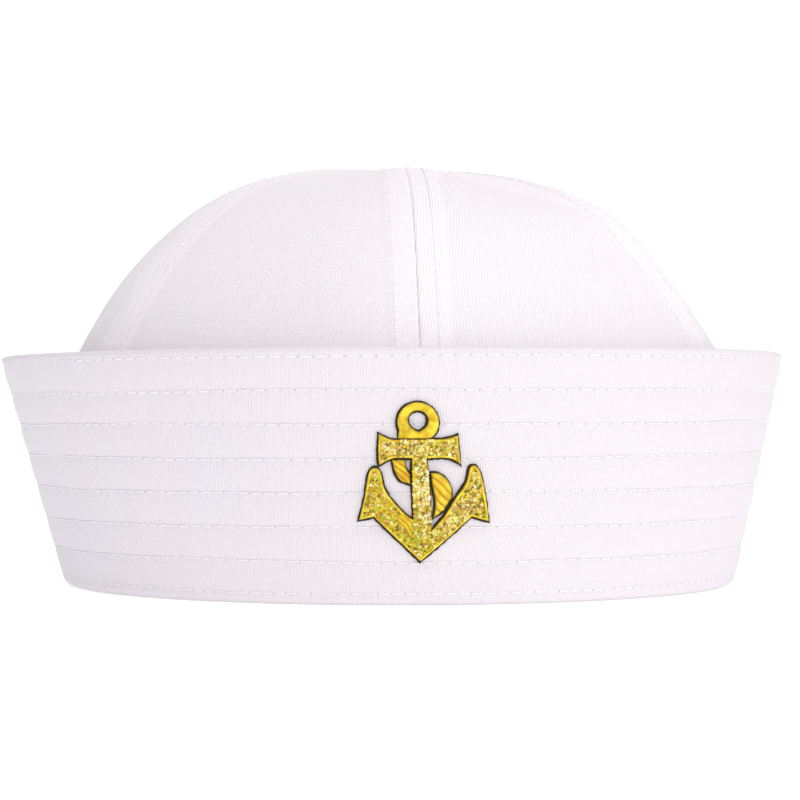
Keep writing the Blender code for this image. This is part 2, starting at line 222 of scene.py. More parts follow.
def calculate(tree, operation, *values):
    """One Math node, fed by sockets or plain numbers. Returns its result."""
    node = tree.nodes.new("ShaderNodeMath")
    node.operation = operation
    for socket, value in zip(node.inputs, values):
        feed(tree, socket, value)
    return node.outputs[0]


def clamped(tree, value):
    """A value held between 0 and 1."""
    return calculate(tree, "MINIMUM", calculate(tree, "MAXIMUM", value, 0.0), 1.0)


def split_parts(tree, vector):
    """The parts of a vector, such as a map's two numbers."""
    node = tree.nodes.new("ShaderNodeSeparateXYZ")
    tree.links.new(vector, node.inputs[0])
    return node.outputs


def add_noise(tree, vector, scale, detail):
    """One Noise Texture over a place or a map. Returns its value."""
    node = tree.nodes.new("ShaderNodeTexNoise")
    for name, value in (("Vector", vector), ("Scale", scale), ("Detail", detail)):
        feed(tree, node.inputs[name], value)
    return node.outputs["Fac"]


def object_place(tree):
    return tree.nodes.new("ShaderNodeTexCoord").outputs["Object"]


def add_ramp(tree, value, low, high, top=1.0, interpolation="LINEAR"):
    """0 up to one value, and from there rising to the top at another."""
    node = tree.nodes.new("ShaderNodeMapRange")
    node.interpolation_type = interpolation
    for name, number in (("Value", value), ("From Min", low), ("From Max", high), ("To Max", top)):
        feed(tree, node.inputs[name], number)
    return node.outputs["Result"]


def blend_colours(tree, share, first, second, blend_type="MIX"):
    """One Mix node for colours, fed by sockets or plain colours. Returns its result."""
    node = tree.nodes.new("ShaderNodeMix")
    node.data_type = "RGBA"
    node.blend_type = blend_type
    for name, value in (("Factor", share), ("A", first), ("B", second)):
        feed(tree, next(each for each in node.inputs if each.name == name and each.enabled), value)
    return next(each for each in node.outputs if each.enabled)


def build_weave_group():
    """Twill: slanting ribs made of short floats, with uneven threads and painted shade between the ribs."""
    group = bpy.data.node_groups.new("Twill Weave", "ShaderNodeTree")
    inputs = (
        ("NodeSocketVector", "Cloth", None),
        ("NodeSocketFloat", "Rib Pitch", 0.63),
        ("NodeSocketFloat", "Rib Slant", 0.12),
        ("NodeSocketFloat", "Float Length", 0.9),
        ("NodeSocketFloat", "Unevenness", 0.35),
        ("NodeSocketFloat", "Shade Depth", 0.08),
    )
    given, made = name_sockets(group, inputs, (("NodeSocketFloat", "Height"), ("NodeSocketFloat", "Shade")))
    cloth = split_parts(group, given.outputs["Cloth"])
    stray = add_noise(group, given.outputs["Cloth"], 0.55, 3.0)
    cosine = calculate(group, "COSINE", given.outputs["Rib Slant"])
    sine = calculate(group, "SINE", given.outputs["Rib Slant"])
    over = calculate(group, "MULTIPLY", cloth["X"], cosine)
    across = calculate(group, "MULTIPLY_ADD", cloth["Y"], sine, over)
    back = calculate(group, "MULTIPLY", cloth["X"], sine)
    ahead = calculate(group, "MULTIPLY", cloth["Y"], cosine)
    along = calculate(group, "SUBTRACT", ahead, back)
    even = calculate(group, "DIVIDE", across, given.outputs["Rib Pitch"])
    rib = calculate(group, "MULTIPLY_ADD", stray, given.outputs["Unevenness"], even)
    part = calculate(group, "MULTIPLY", calculate(group, "FRACT", rib), math.pi)
    ridge = calculate(group, "POWER", calculate(group, "SINE", part), 0.65)
    pace = calculate(group, "DIVIDE", along, given.outputs["Float Length"])
    step = calculate(group, "MULTIPLY_ADD", calculate(group, "FLOOR", rib), 0.37, pace)
    wave = calculate(group, "COSINE", calculate(group, "MULTIPLY", step, math.tau))
    woven = calculate(group, "MULTIPLY", ridge, calculate(group, "MULTIPLY_ADD", wave, 0.16, 0.84))
    slub = add_noise(group, given.outputs["Cloth"], 2.2, 2.0)
    height = calculate(group, "MULTIPLY_ADD", slub, 0.5, woven)
    group.links.new(height, made.inputs["Height"])
    low = calculate(group, "SUBTRACT", 1.1, height)
    drop = calculate(group, "MULTIPLY", calculate(group, "MAXIMUM", low, 0.0), given.outputs["Shade Depth"])
    group.links.new(calculate(group, "SUBTRACT", 1.0, drop), made.inputs["Shade"])
    return group


def build_mottle_group():
    """Soft uneven tone over a large piece of cloth, as thin white cotton shows in even light."""
    group = bpy.data.node_groups.new("Cloth Mottle", "ShaderNodeTree")
    inputs = (
        ("NodeSocketFloat", "Patch Scale", 34.0),
        ("NodeSocketFloat", "Strength", 1.0),
        ("NodeSocketColor", "Warm", (0.86, 0.81, 0.83, 1.0)),
        ("NodeSocketColor", "Cool", (0.82, 0.79, 0.835, 1.0)),
    )
    given, made = name_sockets(group, inputs, (("NodeSocketColor", "Color"),))
    patches = add_noise(group, object_place(group), given.outputs["Patch Scale"], 3.0)
    spread = calculate(group, "SUBTRACT", patches, 0.5)
    share = calculate(group, "MULTIPLY_ADD", spread, given.outputs["Strength"], 0.5)
    colour = blend_colours(group, clamped(group, share), given.outputs["Cool"], given.outputs["Warm"])
    group.links.new(colour, made.inputs["Color"])
    return group


def build_hole_group():
    """Needle holes and the line of a seam, from a map of stitch count and mm from the row."""
    group = bpy.data.node_groups.new("Needle Holes", "ShaderNodeTree")
    inputs = (
        ("NodeSocketVector", "Rows", None),
        ("NodeSocketFloat", "Stitch Length", 3.7),
        ("NodeSocketFloat", "Hole Radius", 0.26),
        ("NodeSocketFloat", "Line Width", 0.30),
    )
    given, made = name_sockets(group, inputs, (("NodeSocketFloat", "Hole"), ("NodeSocketFloat", "Line")))
    rows = split_parts(group, given.outputs["Rows"])
    part = calculate(group, "SUBTRACT", calculate(group, "FRACT", rows["X"]), 0.5)
    near = calculate(group, "SUBTRACT", 0.5, calculate(group, "ABSOLUTE", part))
    along = calculate(group, "MULTIPLY", near, given.outputs["Stitch Length"])
    square = calculate(group, "MULTIPLY", rows["Y"], rows["Y"])
    reach = calculate(group, "SQRT", calculate(group, "MULTIPLY_ADD", along, along, square))
    away = calculate(group, "ABSOLUTE", rows["Y"])
    for result, distance, width in (("Hole", reach, "Hole Radius"), ("Line", away, "Line Width")):
        share = calculate(group, "DIVIDE", distance, given.outputs[width])
        fall = calculate(group, "MULTIPLY", calculate(group, "MULTIPLY", share, share), -1.0)
        group.links.new(calculate(group, "EXPONENT", fall), made.inputs[result])
    return group


WEAVE_DEPTH = 0.12
# Painted shade: grey along the groove of each stitch row, and darker grey in each needle hole.
GROOVE_SHADE_GREY = (0.64, 0.61, 0.68, 1.0)
HOLE_SHADE_GREY = (0.36, 0.33, 0.40, 1.0)
GROOVE_SHADE_SHARE = 0.4
HOLE_DIMPLE = 0.14
weave_group = build_weave_group()
mottle_group = build_mottle_group()
hole_group = build_hole_group()


def place_group(tree, group, **values):
    """Puts a node group in a material, with its own values."""
    node = tree.nodes.new("ShaderNodeGroup")
    node.node_tree = group
    for name, value in values.items():
        node.inputs[name.replace("_", " ")].default_value = value
    return node


def read_map(tree, name):
    """The piece's own map of that name."""
    node = tree.nodes.new("ShaderNodeUVMap")
    node.uv_map = name
    return node.outputs["UV"]


def add_relief(tree, height, depth):
    """Feeds a height, in units of depth, to the shader as its bumped normal."""
    bump = tree.nodes.new("ShaderNodeBump")
    bump.inputs["Distance"].default_value = depth
    bump.inputs["Strength"].default_value = 1.0
    tree.links.new(height, bump.inputs["Height"])
    tree.links.new(bump.outputs["Normal"], tree.nodes["Principled BSDF"].inputs["Normal"])


def start_material(name, roughness, specular=0.5, sheen=0.0, metallic=0.0):
    material = bpy.data.materials.new(name)
    material.use_nodes = True
    shader = material.node_tree.nodes["Principled BSDF"]
    shader.inputs["Roughness"].default_value = roughness
    shader.inputs["Specular IOR Level"].default_value = specular
    shader.inputs["Sheen Weight"].default_value = sheen
    shader.inputs["Metallic"].default_value = metallic
    return material, material.node_tree, shader


def make_twill(name, weave, tones, hole_shade_strength, with_seams=False):
    """White cotton twill that follows the piece's maps of its cloth, its stitch rows and its seams."""
    material, tree, shader = start_material(name, roughness=0.86, specular=0.25, sheen=0.10)
    weave = place_group(tree, weave_group, **weave)
    tree.links.new(read_map(tree, "cloth"), weave.inputs["Cloth"])
    colour = place_group(tree, mottle_group, **tones).outputs["Color"]
    if with_seams:
        # Beside a seam the cloth lies double and looks whiter, and the single layer between is greyer.
        seams = split_parts(tree, read_map(tree, "seams"))
        single = add_ramp(tree, seams["X"], -0.5, 0.9, interpolation="SMOOTHSTEP")
        colour = blend_colours(tree, single, colour, SINGLE_LAYER_TINT, "MULTIPLY")
    colour = blend_colours(tree, 1.0, colour, weave.outputs["Shade"], "MULTIPLY")
    holes = place_group(tree, hole_group)
    tree.links.new(read_map(tree, "rows"), holes.inputs["Rows"])
    # The groove of each stitch row and each needle hole are painted grey: painted shade.
    line = calculate(tree, "MULTIPLY", holes.outputs["Line"], GROOVE_SHADE_SHARE * hole_shade_strength)
    colour = blend_colours(tree, line, colour, GROOVE_SHADE_GREY)
    dot = calculate(tree, "MULTIPLY", holes.outputs["Hole"], hole_shade_strength)
    colour = blend_colours(tree, dot, colour, HOLE_SHADE_GREY)
    tree.links.new(colour, shader.inputs["Base Color"])
    dimple = calculate(tree, "MULTIPLY", holes.outputs["Hole"], -HOLE_DIMPLE)
    height = calculate(tree, "MULTIPLY_ADD", weave.outputs["Height"], WEAVE_DEPTH, dimple)
    add_relief(tree, height, MM)
    return material


def finish_mesh(name, bm):
    """A finished bmesh as a mesh."""
    mesh = bpy.data.meshes.new(name)
    bm.to_mesh(mesh)
    bm.free()
    return mesh


def add_piece(name, bm, material, replaces=()):
    """Turns a finished bmesh into a smooth piece that rides on the cap's one body."""
    mesh = finish_mesh(name, bm)
    mesh.materials.append(material)
    mesh.shade_smooth()
    piece = bpy.data.objects.new(name, mesh)
    bpy.context.scene.collection.objects.link(piece)
    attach(piece, "root")
    if replaces:
        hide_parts(*replaces)
    return piece


BRIM_WEAVE = {"Rib_Slant": 0.10, "Shade_Depth": 0.10}
# The brim's twill is painted a little darker than the crown's, though both are the same white cotton:
# painted shade.
BRIM_SHADED_TONES = {"Warm": (0.818, 0.768, 0.790, 1.0), "Cool": (0.780, 0.752, 0.798, 1.0)}
BRIM_HOLE_SHADE = 0.34


def make_brim():
    """The section spun once round, then drawn out to the head's oval, flared and quilted."""
    bm = bmesh.new()
    girth_place = bm.verts.layers.float.new("girth_place")
    section = brim_section()
    loop = [bm.verts.new((0.0, -(HALF_WIDTH + point.x), point.y)) for point in section]
    edges = [bm.edges.new(pair) for pair in zip(loop, loop[1:] + loop[:1])]
    girth = 0.0
    for vert, start, end in zip(loop, section, section[1:] + section[:1]):
        vert[girth_place] = girth
        girth += (end - start).length
    outer_end = loop[len(brim_path()) - 1][girth_place]
    bmesh.ops.spin(
        bm,
        geom=loop + edges,
        axis=(0, 0, 1),
        cent=(0, 0, 0),
        angle=math.tau,
        steps=STITCH_COUNT * COLUMNS_PER_STITCH,
        use_merge=True,
    )
    bm.verts.index_update()
    spots = np.array([vert.co for vert in bm.verts])
    bearings = np.arctan2(spots[:, 0], -spots[:, 1])
    outwards = np.hypot(spots[:, 0], spots[:, 1]) - HALF_WIDTH
    ups = spots[:, 2]
    downs = np.array([vert[girth_place] for vert in bm.verts])
    rows = nearest_row(bearings, ups)
    levels = np.stack([row_height(bearings, row) for row in range(len(STITCH_ROWS))], axis=-1)
    cloth_map = bm.loops.layers.uv.new("cloth")
    rows_map = bm.loops.layers.uv.new("rows")
    for face in bm.faces:
        corners = [corner.vert.index for corner in face.loops]
        turns = bearings[corners]
        if turns.max() - turns.min() > math.pi:
            turns = np.where(turns < 0, turns + math.tau, turns)
        lengths = downs[corners]
        if lengths.max() - lengths.min() > girth / 2:
            lengths = np.where(lengths < girth / 2, lengths + girth, lengths)
        row = rows[corners[0]]
        away = np.full(4, NO_ROW * MM)
        if lengths.max() <= outer_end:
            away = ups[corners] - levels[corners, row]
        cloth = np.stack([turns * (HALF_WIDTH + HALF_DEPTH) / 2, lengths], axis=-1) / MM
        counted = turns / math.tau * STITCH_COUNT + ROW_SHIFT * row
        for corner, flat, count, off in zip(face.loops, cloth, counted, away / MM):
            corner[cloth_map].uv = flat
            corner[rows_map].uv = (count, off)
    relief = quilted(bearings, ups) * ease(-0.2 * MM, FOLD_WIDTH / 2, ups)
    inside = INNER_RELIEF * ease(LEG_HEIGHT, LEG_HEIGHT + 4 * MM, ups)
    relief = np.where(downs > outer_end, relief * inside, relief)
    out, drop = relief * math.cos(BRIM_FLARE), relief * math.sin(BRIM_FLARE)
    for vert, spot in zip(bm.verts, brim_place(bearings, outwards + out, ups - drop)):
        vert.co = spot
    bmesh.ops.recalc_face_normals(bm, faces=bm.faces)
    twill = make_twill("brim_twill", BRIM_WEAVE, BRIM_SHADED_TONES, BRIM_HOLE_SHADE)
    add_piece("brim_cloth", bm, twill, ("brim",))


make_brim()


# Brim topstitching
# White cotton thread, one lockstitch after another along each of the eight rows. Each stitch is a short
# length of thread that dips into the cloth at both ends.
THREAD_RADIUS = 0.17 * MM
THREAD_SIDES = 6
STITCH_REACH = 3.35 * MM
STITCH_ARCH = 0.12 * MM
STITCH_BENDS = (-0.38, -0.2, 0.0, 0.2, 0.38)


def make_stitch(name, length, radius, arch):
    """One stitch along +X, raised in the middle and dipping into the cloth at both ends."""
    bm = bmesh.new()
    bmesh.ops.create_cone(
        bm, cap_ends=True, segments=THREAD_SIDES, radius1=radius, radius2=radius, depth=length
    )
    bmesh.ops.rotate(bm, verts=bm.verts, cent=(0, 0, 0), matrix=Matrix.Rotation(math.pi / 2, 3, "Y"))
    for share in STITCH_BENDS:
        geom = bm.verts[:] + bm.edges[:] + bm.faces[:]
        bmesh.ops.bisect_plane(bm, geom=geom, plane_co=(share * length, 0, 0), plane_no=(1, 0, 0))
    for vert in bm.verts:
        share = abs(vert.co.x) / (length / 2)
        thin = 1 - 0.45 * share**4
        vert.co.y *= thin
        vert.co.z = vert.co.z * thin + arch * (1 - share**2.4) - arch * share**6
    bmesh.ops.recalc_face_normals(bm, faces=bm.faces)
    return finish_mesh(name, bm)


def laid(spot, along, outward, stretch=1.0):
    """The matrix that lays a shape drawn along +X, with its top towards +Z, at a spot on a surface."""
    along = Vector(along).normalized()
    side = Vector(outward).cross(along).normalized()
    turned = Matrix((along * stretch, side, along.cross(side))).transposed().to_4x4()
    return Matrix.Translation(Vector(spot)) @ turned


def repeat_shape(bm, shape, places):
    """Adds copies of a small mesh, each moved by its own matrix."""
    for place in places:
        copy = shape.copy()
        copy.transform(place)
        bm.from_mesh(copy)
        bpy.data.meshes.remove(copy)


def brim_face(bearing, up):
    """Points of the brim's quilted outer face."""
    fold = (FOLD_WIDTH - FOLD_FLAT) / 2
    curl = -fold + np.sqrt(np.maximum(0.0, fold * fold - (fold - up) ** 2))
    outward = np.where(up > fold, wall_outward(up), curl)
    relief = quilted(bearing, up) * ease(-0.2 * MM, FOLD_WIDTH / 2, up)
    out, drop = relief * math.cos(BRIM_FLARE), relief * math.sin(BRIM_FLARE)
    return brim_place(bearing, outward + out, up - drop)


def brim_stitch_places():
    """The matrix of each stitch. Its ends lie where the row's count of stitches is whole."""
    draw = random.Random(8)
    pitch = math.tau / STITCH_COUNT
    places = []
    for row in range(len(STITCH_ROWS)):
        bearings = (np.arange(STITCH_COUNT) + 0.5 - ROW_SHIFT * row) * pitch
        turned = [bearings + turn * pitch for turn in (0.0, 0.3, -0.3)]
        seats, ahead, behind = (brim_face(each, row_height(each, row)) for each in turned)
        above = brim_face(bearings, row_height(bearings, row) + 0.4 * MM)
        along = ahead - behind
        outward = np.cross(along, above - seats)
        outward /= np.linalg.norm(outward, axis=-1, keepdims=True)
        for seat, way, out in zip(seats, along, outward):
            lift = draw.uniform(0.02, 0.07) * MM
            places.append(laid(seat + out * lift, way, out, draw.uniform(0.95, 1.05)))
    return places


def make_thread(name, colour, roughness, sheen):
    """Sewing thread: a plain colour, uneven with the twist of its fibres."""
    material, tree, shader = start_material(name, roughness, sheen=sheen)
    fibres = add_noise(tree, object_place(tree), 1400.0, 2.0)
    dull = tuple(0.90 * channel for channel in colour[:3]) + (1.0,)
    tree.links.new(blend_colours(tree, fibres, dull, colour), shader.inputs["Base Color"])
    add_relief(tree, fibres, 0.06 * MM)
    return material


white_thread = make_thread("white_thread", (0.93, 0.905, 0.925, 1.0), roughness=0.7, sheen=0.1)
brim_rows = bmesh.new()
brim_stitch = make_stitch("brim_stitch", STITCH_REACH, THREAD_RADIUS, STITCH_ARCH)
repeat_shape(brim_rows, brim_stitch, brim_stitch_places())
add_piece("brim_stitches", brim_rows, white_thread)


# Crown gores
# Six gores of one layer of white twill, sewn edge to edge from the hem to the peak. Their allowances are
# pressed open inside and topstitched down, so each seam lies in a whiter band of doubled cloth.
CROWN_RISE = 103.4 * MM
CROWN_BULGE = 6.8 * MM
CROWN_WALL = 1.4 * MM
GORE_COUNT = 6
GORE_TURN = math.tau / GORE_COUNT
FIRST_SEAM = math.radians(3.2)
GORE_SAG = 1.3 * MM
DENT_DEPTH = 2.0 * MM
HEM_LEVEL = LEG_HEIGHT + 0.3 * MM
HEM_TUCK = 1.5 * MM
HEM_REACH = HALF_WIDTH - FOLD_WIDTH + BRIM_WALL / 2 + CROWN_WALL / 2
WIDEST_REACH = HEM_REACH + CROWN_BULGE
DEPTH_RATIO = (HEM_REACH + HALF_DEPTH - HALF_WIDTH) / HEM_REACH
SINGLE_LAYER_TINT = (0.958, 0.958, 0.952, 1.0)

# Crown sections from the hem up: share of the rise, and reach as a share of the widest half-width.
CROWN_SECTIONS = np.array((
    (0.0, HEM_REACH / WIDEST_REACH),
    (0.150, 0.988),
    (0.330, 1.000),
    (0.470, 0.972),
    (0.600, 0.897),
    (0.720, 0.805),
    (0.830, 0.689),
    (0.910, 0.570),
    (0.965, 0.413),
    (0.992, 0.239),
    (1.000, 0.000),
))

# Soft dents: bearing in degrees, share of the rise, spread in degrees, spread of the rise, and depth as a
# share of DENT_DEPTH. Below 0 the cloth stands out instead.
CROWN_DENTS = (
    (22.0, 0.93, 16.0, 0.07, 0.75),
    (46.0, 0.80, 22.0, 0.12, 0.80),
    (-38.0, 0.72, 24.0, 0.16, 0.30),
    (-92.0, 0.74, 40.0, 0.26, -0.67),
    (128.0, 0.76, 24.0, 0.14, 1.00),
    (-152.0, 0.70, 26.0, 0.16, 0.80),
    (88.0, 0.62, 20.0, 0.14, 0.29),
    (80.0, 0.84, 28.0, 0.07, -0.85),
)

# Beside a seam: how far the allowance and the topstitching lie from it, first on its left seen from
# outside, then on its right.
ALLOWANCES = (7.0 * MM, 8.2 * MM)
TOPSTITCHES = (6.2 * MM, 5.0 * MM)
ALLOWANCE_RISE = 0.30 * MM
CREASE_DEPTH = 0.32 * MM
CREASE_WIDTH = 0.38 * MM
TOPSTITCH_GROOVE = 0.09 * MM
TOPSTITCH_WIDTH = 0.45 * MM
SEAM_PUCKER = 0.10 * MM
CROWN_STITCH = 2.9 * MM
GORE_SHIFT = 0.3
GORE_COLUMNS = 76
GORE_ROWS = 112
SEAM_CROWDING = 0.68
RIB_SLANTS = (-0.42, -0.36, -0.44, -0.38, -0.60, -0.80)
CROWN_WEAVE = {"Rib_Pitch": 0.76, "Shade_Depth": 0.12, "Float_Length": 1.2, "Unevenness": 0.8}
# The crown's twill is painted a little brighter than the brim's, though both are the same white cotton:
# painted light.
CROWN_LIT_TONES = {"Warm": (0.952, 0.896, 0.918, 1.0), "Cool": (0.914, 0.880, 0.922, 1.0)}
CROWN_HOLE_SHADE = 0.12

# On the right the allowance ahead of the side seam fans out towards the peak, from one share of the climb
# to the next.
FAN_SEAM = 1
FAN_WIDTH = 17.0 * MM
FAN_CLIMB = (0.58, 0.84)


def crown_section(climb):
    """Rise and reach on the smooth curve through the section table."""
    first = 2 * CROWN_SECTIONS[0] - CROWN_SECTIONS[1]
    last = CROWN_SECTIONS[-2] * (1, -1)
    rows = np.vstack([first, CROWN_SECTIONS, last])
    spot = np.clip(climb, 0.0, 1.0) * (len(CROWN_SECTIONS) - 1)
    index = np.minimum(np.floor(spot).astype(int), len(CROWN_SECTIONS) - 2)
    t = (spot - index)[..., None]
    a, b, c, d = (rows[index + shift] for shift in range(4))
    square = (2 * a - 5 * b + 4 * c - d) * t**2
    cube = (3 * b - a - 3 * c + d) * t**3
    curve = 0.5 * (2 * b + (c - a) * t + square + cube)
    return curve[..., 0], curve[..., 1]


def dome_place(bearing, climb):
    rise, reach = crown_section(climb)
    across = reach * WIDEST_REACH * np.sin(bearing) + RIM_LEAN
    deep = -reach * WIDEST_REACH * DEPTH_RATIO * np.cos(bearing)
    return np.stack([across, deep, HEM_LEVEL + rise * CROWN_RISE], axis=-1)


def dome_normal(bearing, climb):
    step = 0.004
    aside = dome_place(bearing + step, climb) - dome_place(bearing - step, climb)
    above, below = np.minimum(1.0, climb + step), np.maximum(0.0, climb - step)
    upward = dome_place(bearing, above) - dome_place(bearing, below)
    normal = np.cross(aside, upward)
    length = np.linalg.norm(normal, axis=-1, keepdims=True)
    return np.where(length > 1e-12, normal / np.maximum(length, 1e-12), (0.0, 0.0, 1.0))


def sunk(bearing, climb):
    """How deep the cloth lies below the smooth dome: flat between the seams, and dented here and there."""
    rise, reach = crown_section(climb)
    panel = np.sin(GORE_COUNT / 2 * (bearing - FIRST_SEAM)) ** 2
    depth = GORE_SAG * panel * np.sin(math.pi * np.clip(climb, 0.0, 1.0)) ** 0.8
    for middle, level, spread, height, share in CROWN_DENTS:
        aside = turn_between(bearing, math.radians(middle)) * reach
        depth = depth + DENT_DEPTH * share * bell(aside, math.radians(spread)) * bell(rise - level, height)
    return depth * np.clip(6 * climb, 0.0, 1.0)


def gore_width(climb):
    reach = crown_section(climb)[1] * WIDEST_REACH * (1 + DEPTH_RATIO) / 2
    return np.maximum(0.01 * MM, GORE_TURN * reach)


CLIMBS = np.linspace(0.0, 1.0, 401)
CLIMBED = np.concatenate([
    [0.0],
    np.cumsum(np.linalg.norm(np.diff(dome_place(np.zeros(401), CLIMBS), axis=0), axis=1)),
])


def allowance_width(along, seam, side):
    """How far the doubled cloth reaches from a seam."""
    if (seam, side) != (FAN_SEAM, 0):
        return ALLOWANCES[side]
    return ALLOWANCES[side] + FAN_WIDTH * ease(*FAN_CLIMB, np.interp(along, CLIMBED, CLIMBS))


def seam_relief(away, along, seam, side):
    """The doubled band beside a seam, with its crease, its topstitched groove and its puckers."""
    allowance, topstitch = allowance_width(along, seam, side), TOPSTITCHES[side]
    band = ALLOWANCE_RISE * (1 - ease(allowance - 0.5 * MM, allowance + 0.8 * MM, away))
    crease = CREASE_DEPTH * bell(away, CREASE_WIDTH)
    groove = TOPSTITCH_GROOVE * bell(away - topstitch, TOPSTITCH_WIDTH)
    wave = 0.6 * np.sin(along / (0.95 * MM) + 2.1 * seam) + np.sin(along / (2.3 * MM) + 0.7 * seam)
    beside = bell(away - 1.6 * MM, 1.5 * MM) + 0.7 * bell(away - 9.0 * MM, 2.6 * MM)
    return band - crease - groove + SEAM_PUCKER * wave * beside


def crown_place(gore, across, along):
    """Points of the crown's outer face: share of the way across a gore, and length up from the hem."""
    climb = np.interp(along, CLIMBED, CLIMBS)
    bearing = FIRST_SEAM + GORE_TURN * (gore + across)
    width = gore_width(climb)
    left = seam_relief(across * width, along, gore % GORE_COUNT, 1)
    right = seam_relief((1 - across) * width, along, (gore + 1) % GORE_COUNT, 0)
    relief = (left + right) * ease(0.6 * MM, 6 * MM, width)
    relief = relief * (0.55 + 0.45 * np.clip(width / (2 * ALLOWANCES[1]), 0.0, 1.0))
    lift = (relief - sunk(bearing, climb))[..., None]
    return dome_place(bearing, climb) + dome_normal(bearing, climb) * lift


def fill_grid(bm, spots):
    """Makes a grid with as many points each way as the array of spots, and moves it onto them."""
    columns, rows = spots.shape[0] - 1, spots.shape[1] - 1
    bmesh.ops.create_grid(bm, x_segments=columns, y_segments=rows, size=0.5)
    keys = []
    for vert in bm.verts:
        keys.append((round((vert.co.x + 0.5) * columns), round((vert.co.y + 0.5) * rows)))
        vert.co = spots[keys[-1]]
    bm.verts.index_update()
    return keys


def make_gore(gore):
    """One gore: a grid crowded towards its two seams, laid on the dome, and given the cloth's thickness."""
    evenly = np.linspace(0.0, 1.0, GORE_COLUMNS + 1)
    across = evenly - SEAM_CROWDING * np.sin(math.tau * evenly) / math.tau
    along = np.linspace(-HEM_TUCK, CLIMBED[-1], GORE_ROWS + 1)
    across, along = np.meshgrid(across, along, indexing="ij")
    spots = crown_place(gore, across, np.maximum(0.0, along))
    spots[..., 2] += np.minimum(0.0, along)
    bm = bmesh.new()
    keys = fill_grid(bm, spots)
    width = gore_width(np.interp(along, CLIMBED, CLIMBS))
    side = np.where(across < 0.5, 1, 0)
    away = np.minimum(across, 1 - across) * width
    flat = np.stack([(across - 0.5) * width, along], axis=-1) / MM
    count = along / CROWN_STITCH + GORE_SHIFT * gore
    counted = np.stack([count, (away - np.array(TOPSTITCHES)[side]) / MM], axis=-1)
    from_left = across * width - allowance_width(along, gore, 1)
    from_right = (1 - across) * width - allowance_width(along, (gore + 1) % GORE_COUNT, 0)
    banded = np.stack([np.minimum(from_left, from_right) / MM, side], axis=-1)
    maps = [(bm.loops.layers.uv.new(name), table) for name, table in (("cloth", flat), ("rows", counted))]
    maps.append((bm.loops.layers.uv.new("seams"), banded))
    for face in bm.faces:
        for corner in face.loops:
            for layer, table in maps:
                corner[layer].uv = table[keys[corner.vert.index]]
    bmesh.ops.remove_doubles(bm, verts=bm.verts, dist=0.01 * MM)
    bmesh.ops.recalc_face_normals(bm, faces=bm.faces)
    name = f"crown_cloth_{gore + 1}"
    weave = {"Rib_Slant": RIB_SLANTS[gore], **CROWN_WEAVE}
    twill = make_twill(name, weave, CROWN_LIT_TONES, CROWN_HOLE_SHADE, with_seams=True)
    piece = add_piece(name, bm, twill, (f"crown_gore_{gore + 1}",))
    wall = piece.modifiers.new("cloth", "SOLIDIFY")
    wall.thickness = CROWN_WALL
    wall.offset = -1.0


for gore in range(GORE_COUNT):
    make_gore(gore)


# Crown topstitching
# A row of short white stitches on each side of every seam, which holds the seam allowance down inside. A
# row ends below the peak, where the gore has grown too narrow for it.
CROWN_STITCH_REACH = 2.6 * MM
CROWN_THREAD_RADIUS = 0.15 * MM
CROWN_STITCH_ARCH = 0.10 * MM
ROW_END_SHARE = 0.42


def crown_stitch_places():
    draw = random.Random(21)
    places = []
    for gore in range(GORE_COUNT):
        for side in (0, 1):
            counts = np.arange(0, int(CLIMBED[-1] / CROWN_STITCH) - 2)
            along = (counts + 0.5 - (GORE_SHIFT * gore) % 1.0) * CROWN_STITCH
            width = gore_width(np.interp(along, CLIMBED, CLIMBS))
            share = TOPSTITCHES[side] / width
            kept = (along > 0) & (share < ROW_END_SHARE)
            along, share = along[kept], share[kept]
            share = share if side == 1 else 1 - share
            seats = crown_place(gore, share, along)
            way = crown_place(gore, share, along + 0.8 * MM) - crown_place(gore, share, along - 0.8 * MM)
            out = dome_normal(FIRST_SEAM + GORE_TURN * (gore + share), np.interp(along, CLIMBED, CLIMBS))
            for seat, ahead, outward in zip(seats, way, out):
                spot = seat + outward * draw.uniform(0.03, 0.07) * MM
                places.append(laid(spot, ahead, outward, draw.uniform(0.95, 1.05)))
    return places


crown_rows = bmesh.new()
crown_stitch = make_stitch("crown_stitch", CROWN_STITCH_REACH, CROWN_THREAD_RADIUS, CROWN_STITCH_ARCH)
repeat_shape(crown_rows, crown_stitch, crown_stitch_places())
add_piece("crown_stitches", crown_rows, white_thread)


# Felt backing of the anchor patch
# Dark felt, cut a little wider than the satin and laid a little too low and left, so that it shows as an
# uneven dark edge round every piece of the patch. The edge is widest low and left, a painted shadow of the
# patch. It is sewn flat to the front of the brim.
ANCHOR_WIDTH = 31.2 * MM
ANCHOR_HEIGHT = 38.9 * MM
ANCHOR_SHIFT = 6.8 * MM
ANCHOR_DROP = 0.9 * MM
RING_RADIUS = 4.9 * MM
RING_HOLE = 2.35 * MM
HOLE_RAISE = 0.5 * MM
FELT_LOW = 0.05 * MM
FELT_HIGH = 0.75 * MM
FELT_MARGIN = 0.36 * MM
FELT_RAGGED = 0.16 * MM
# Painted shadow: the felt lies this far low and left, so its dark edge shows wider there.
FELT_SHADOW_SHIFT = (-0.12 * MM, -0.16 * MM)
FELT_STEP = 0.35 * MM
FELT_THINNER = 0.02 * MM
FELT_DARK = (0.010, 0.009, 0.006, 1.0)
FELT_PALE = (0.045, 0.036, 0.020, 1.0)
PATCH_STRIP = 1.2 * MM

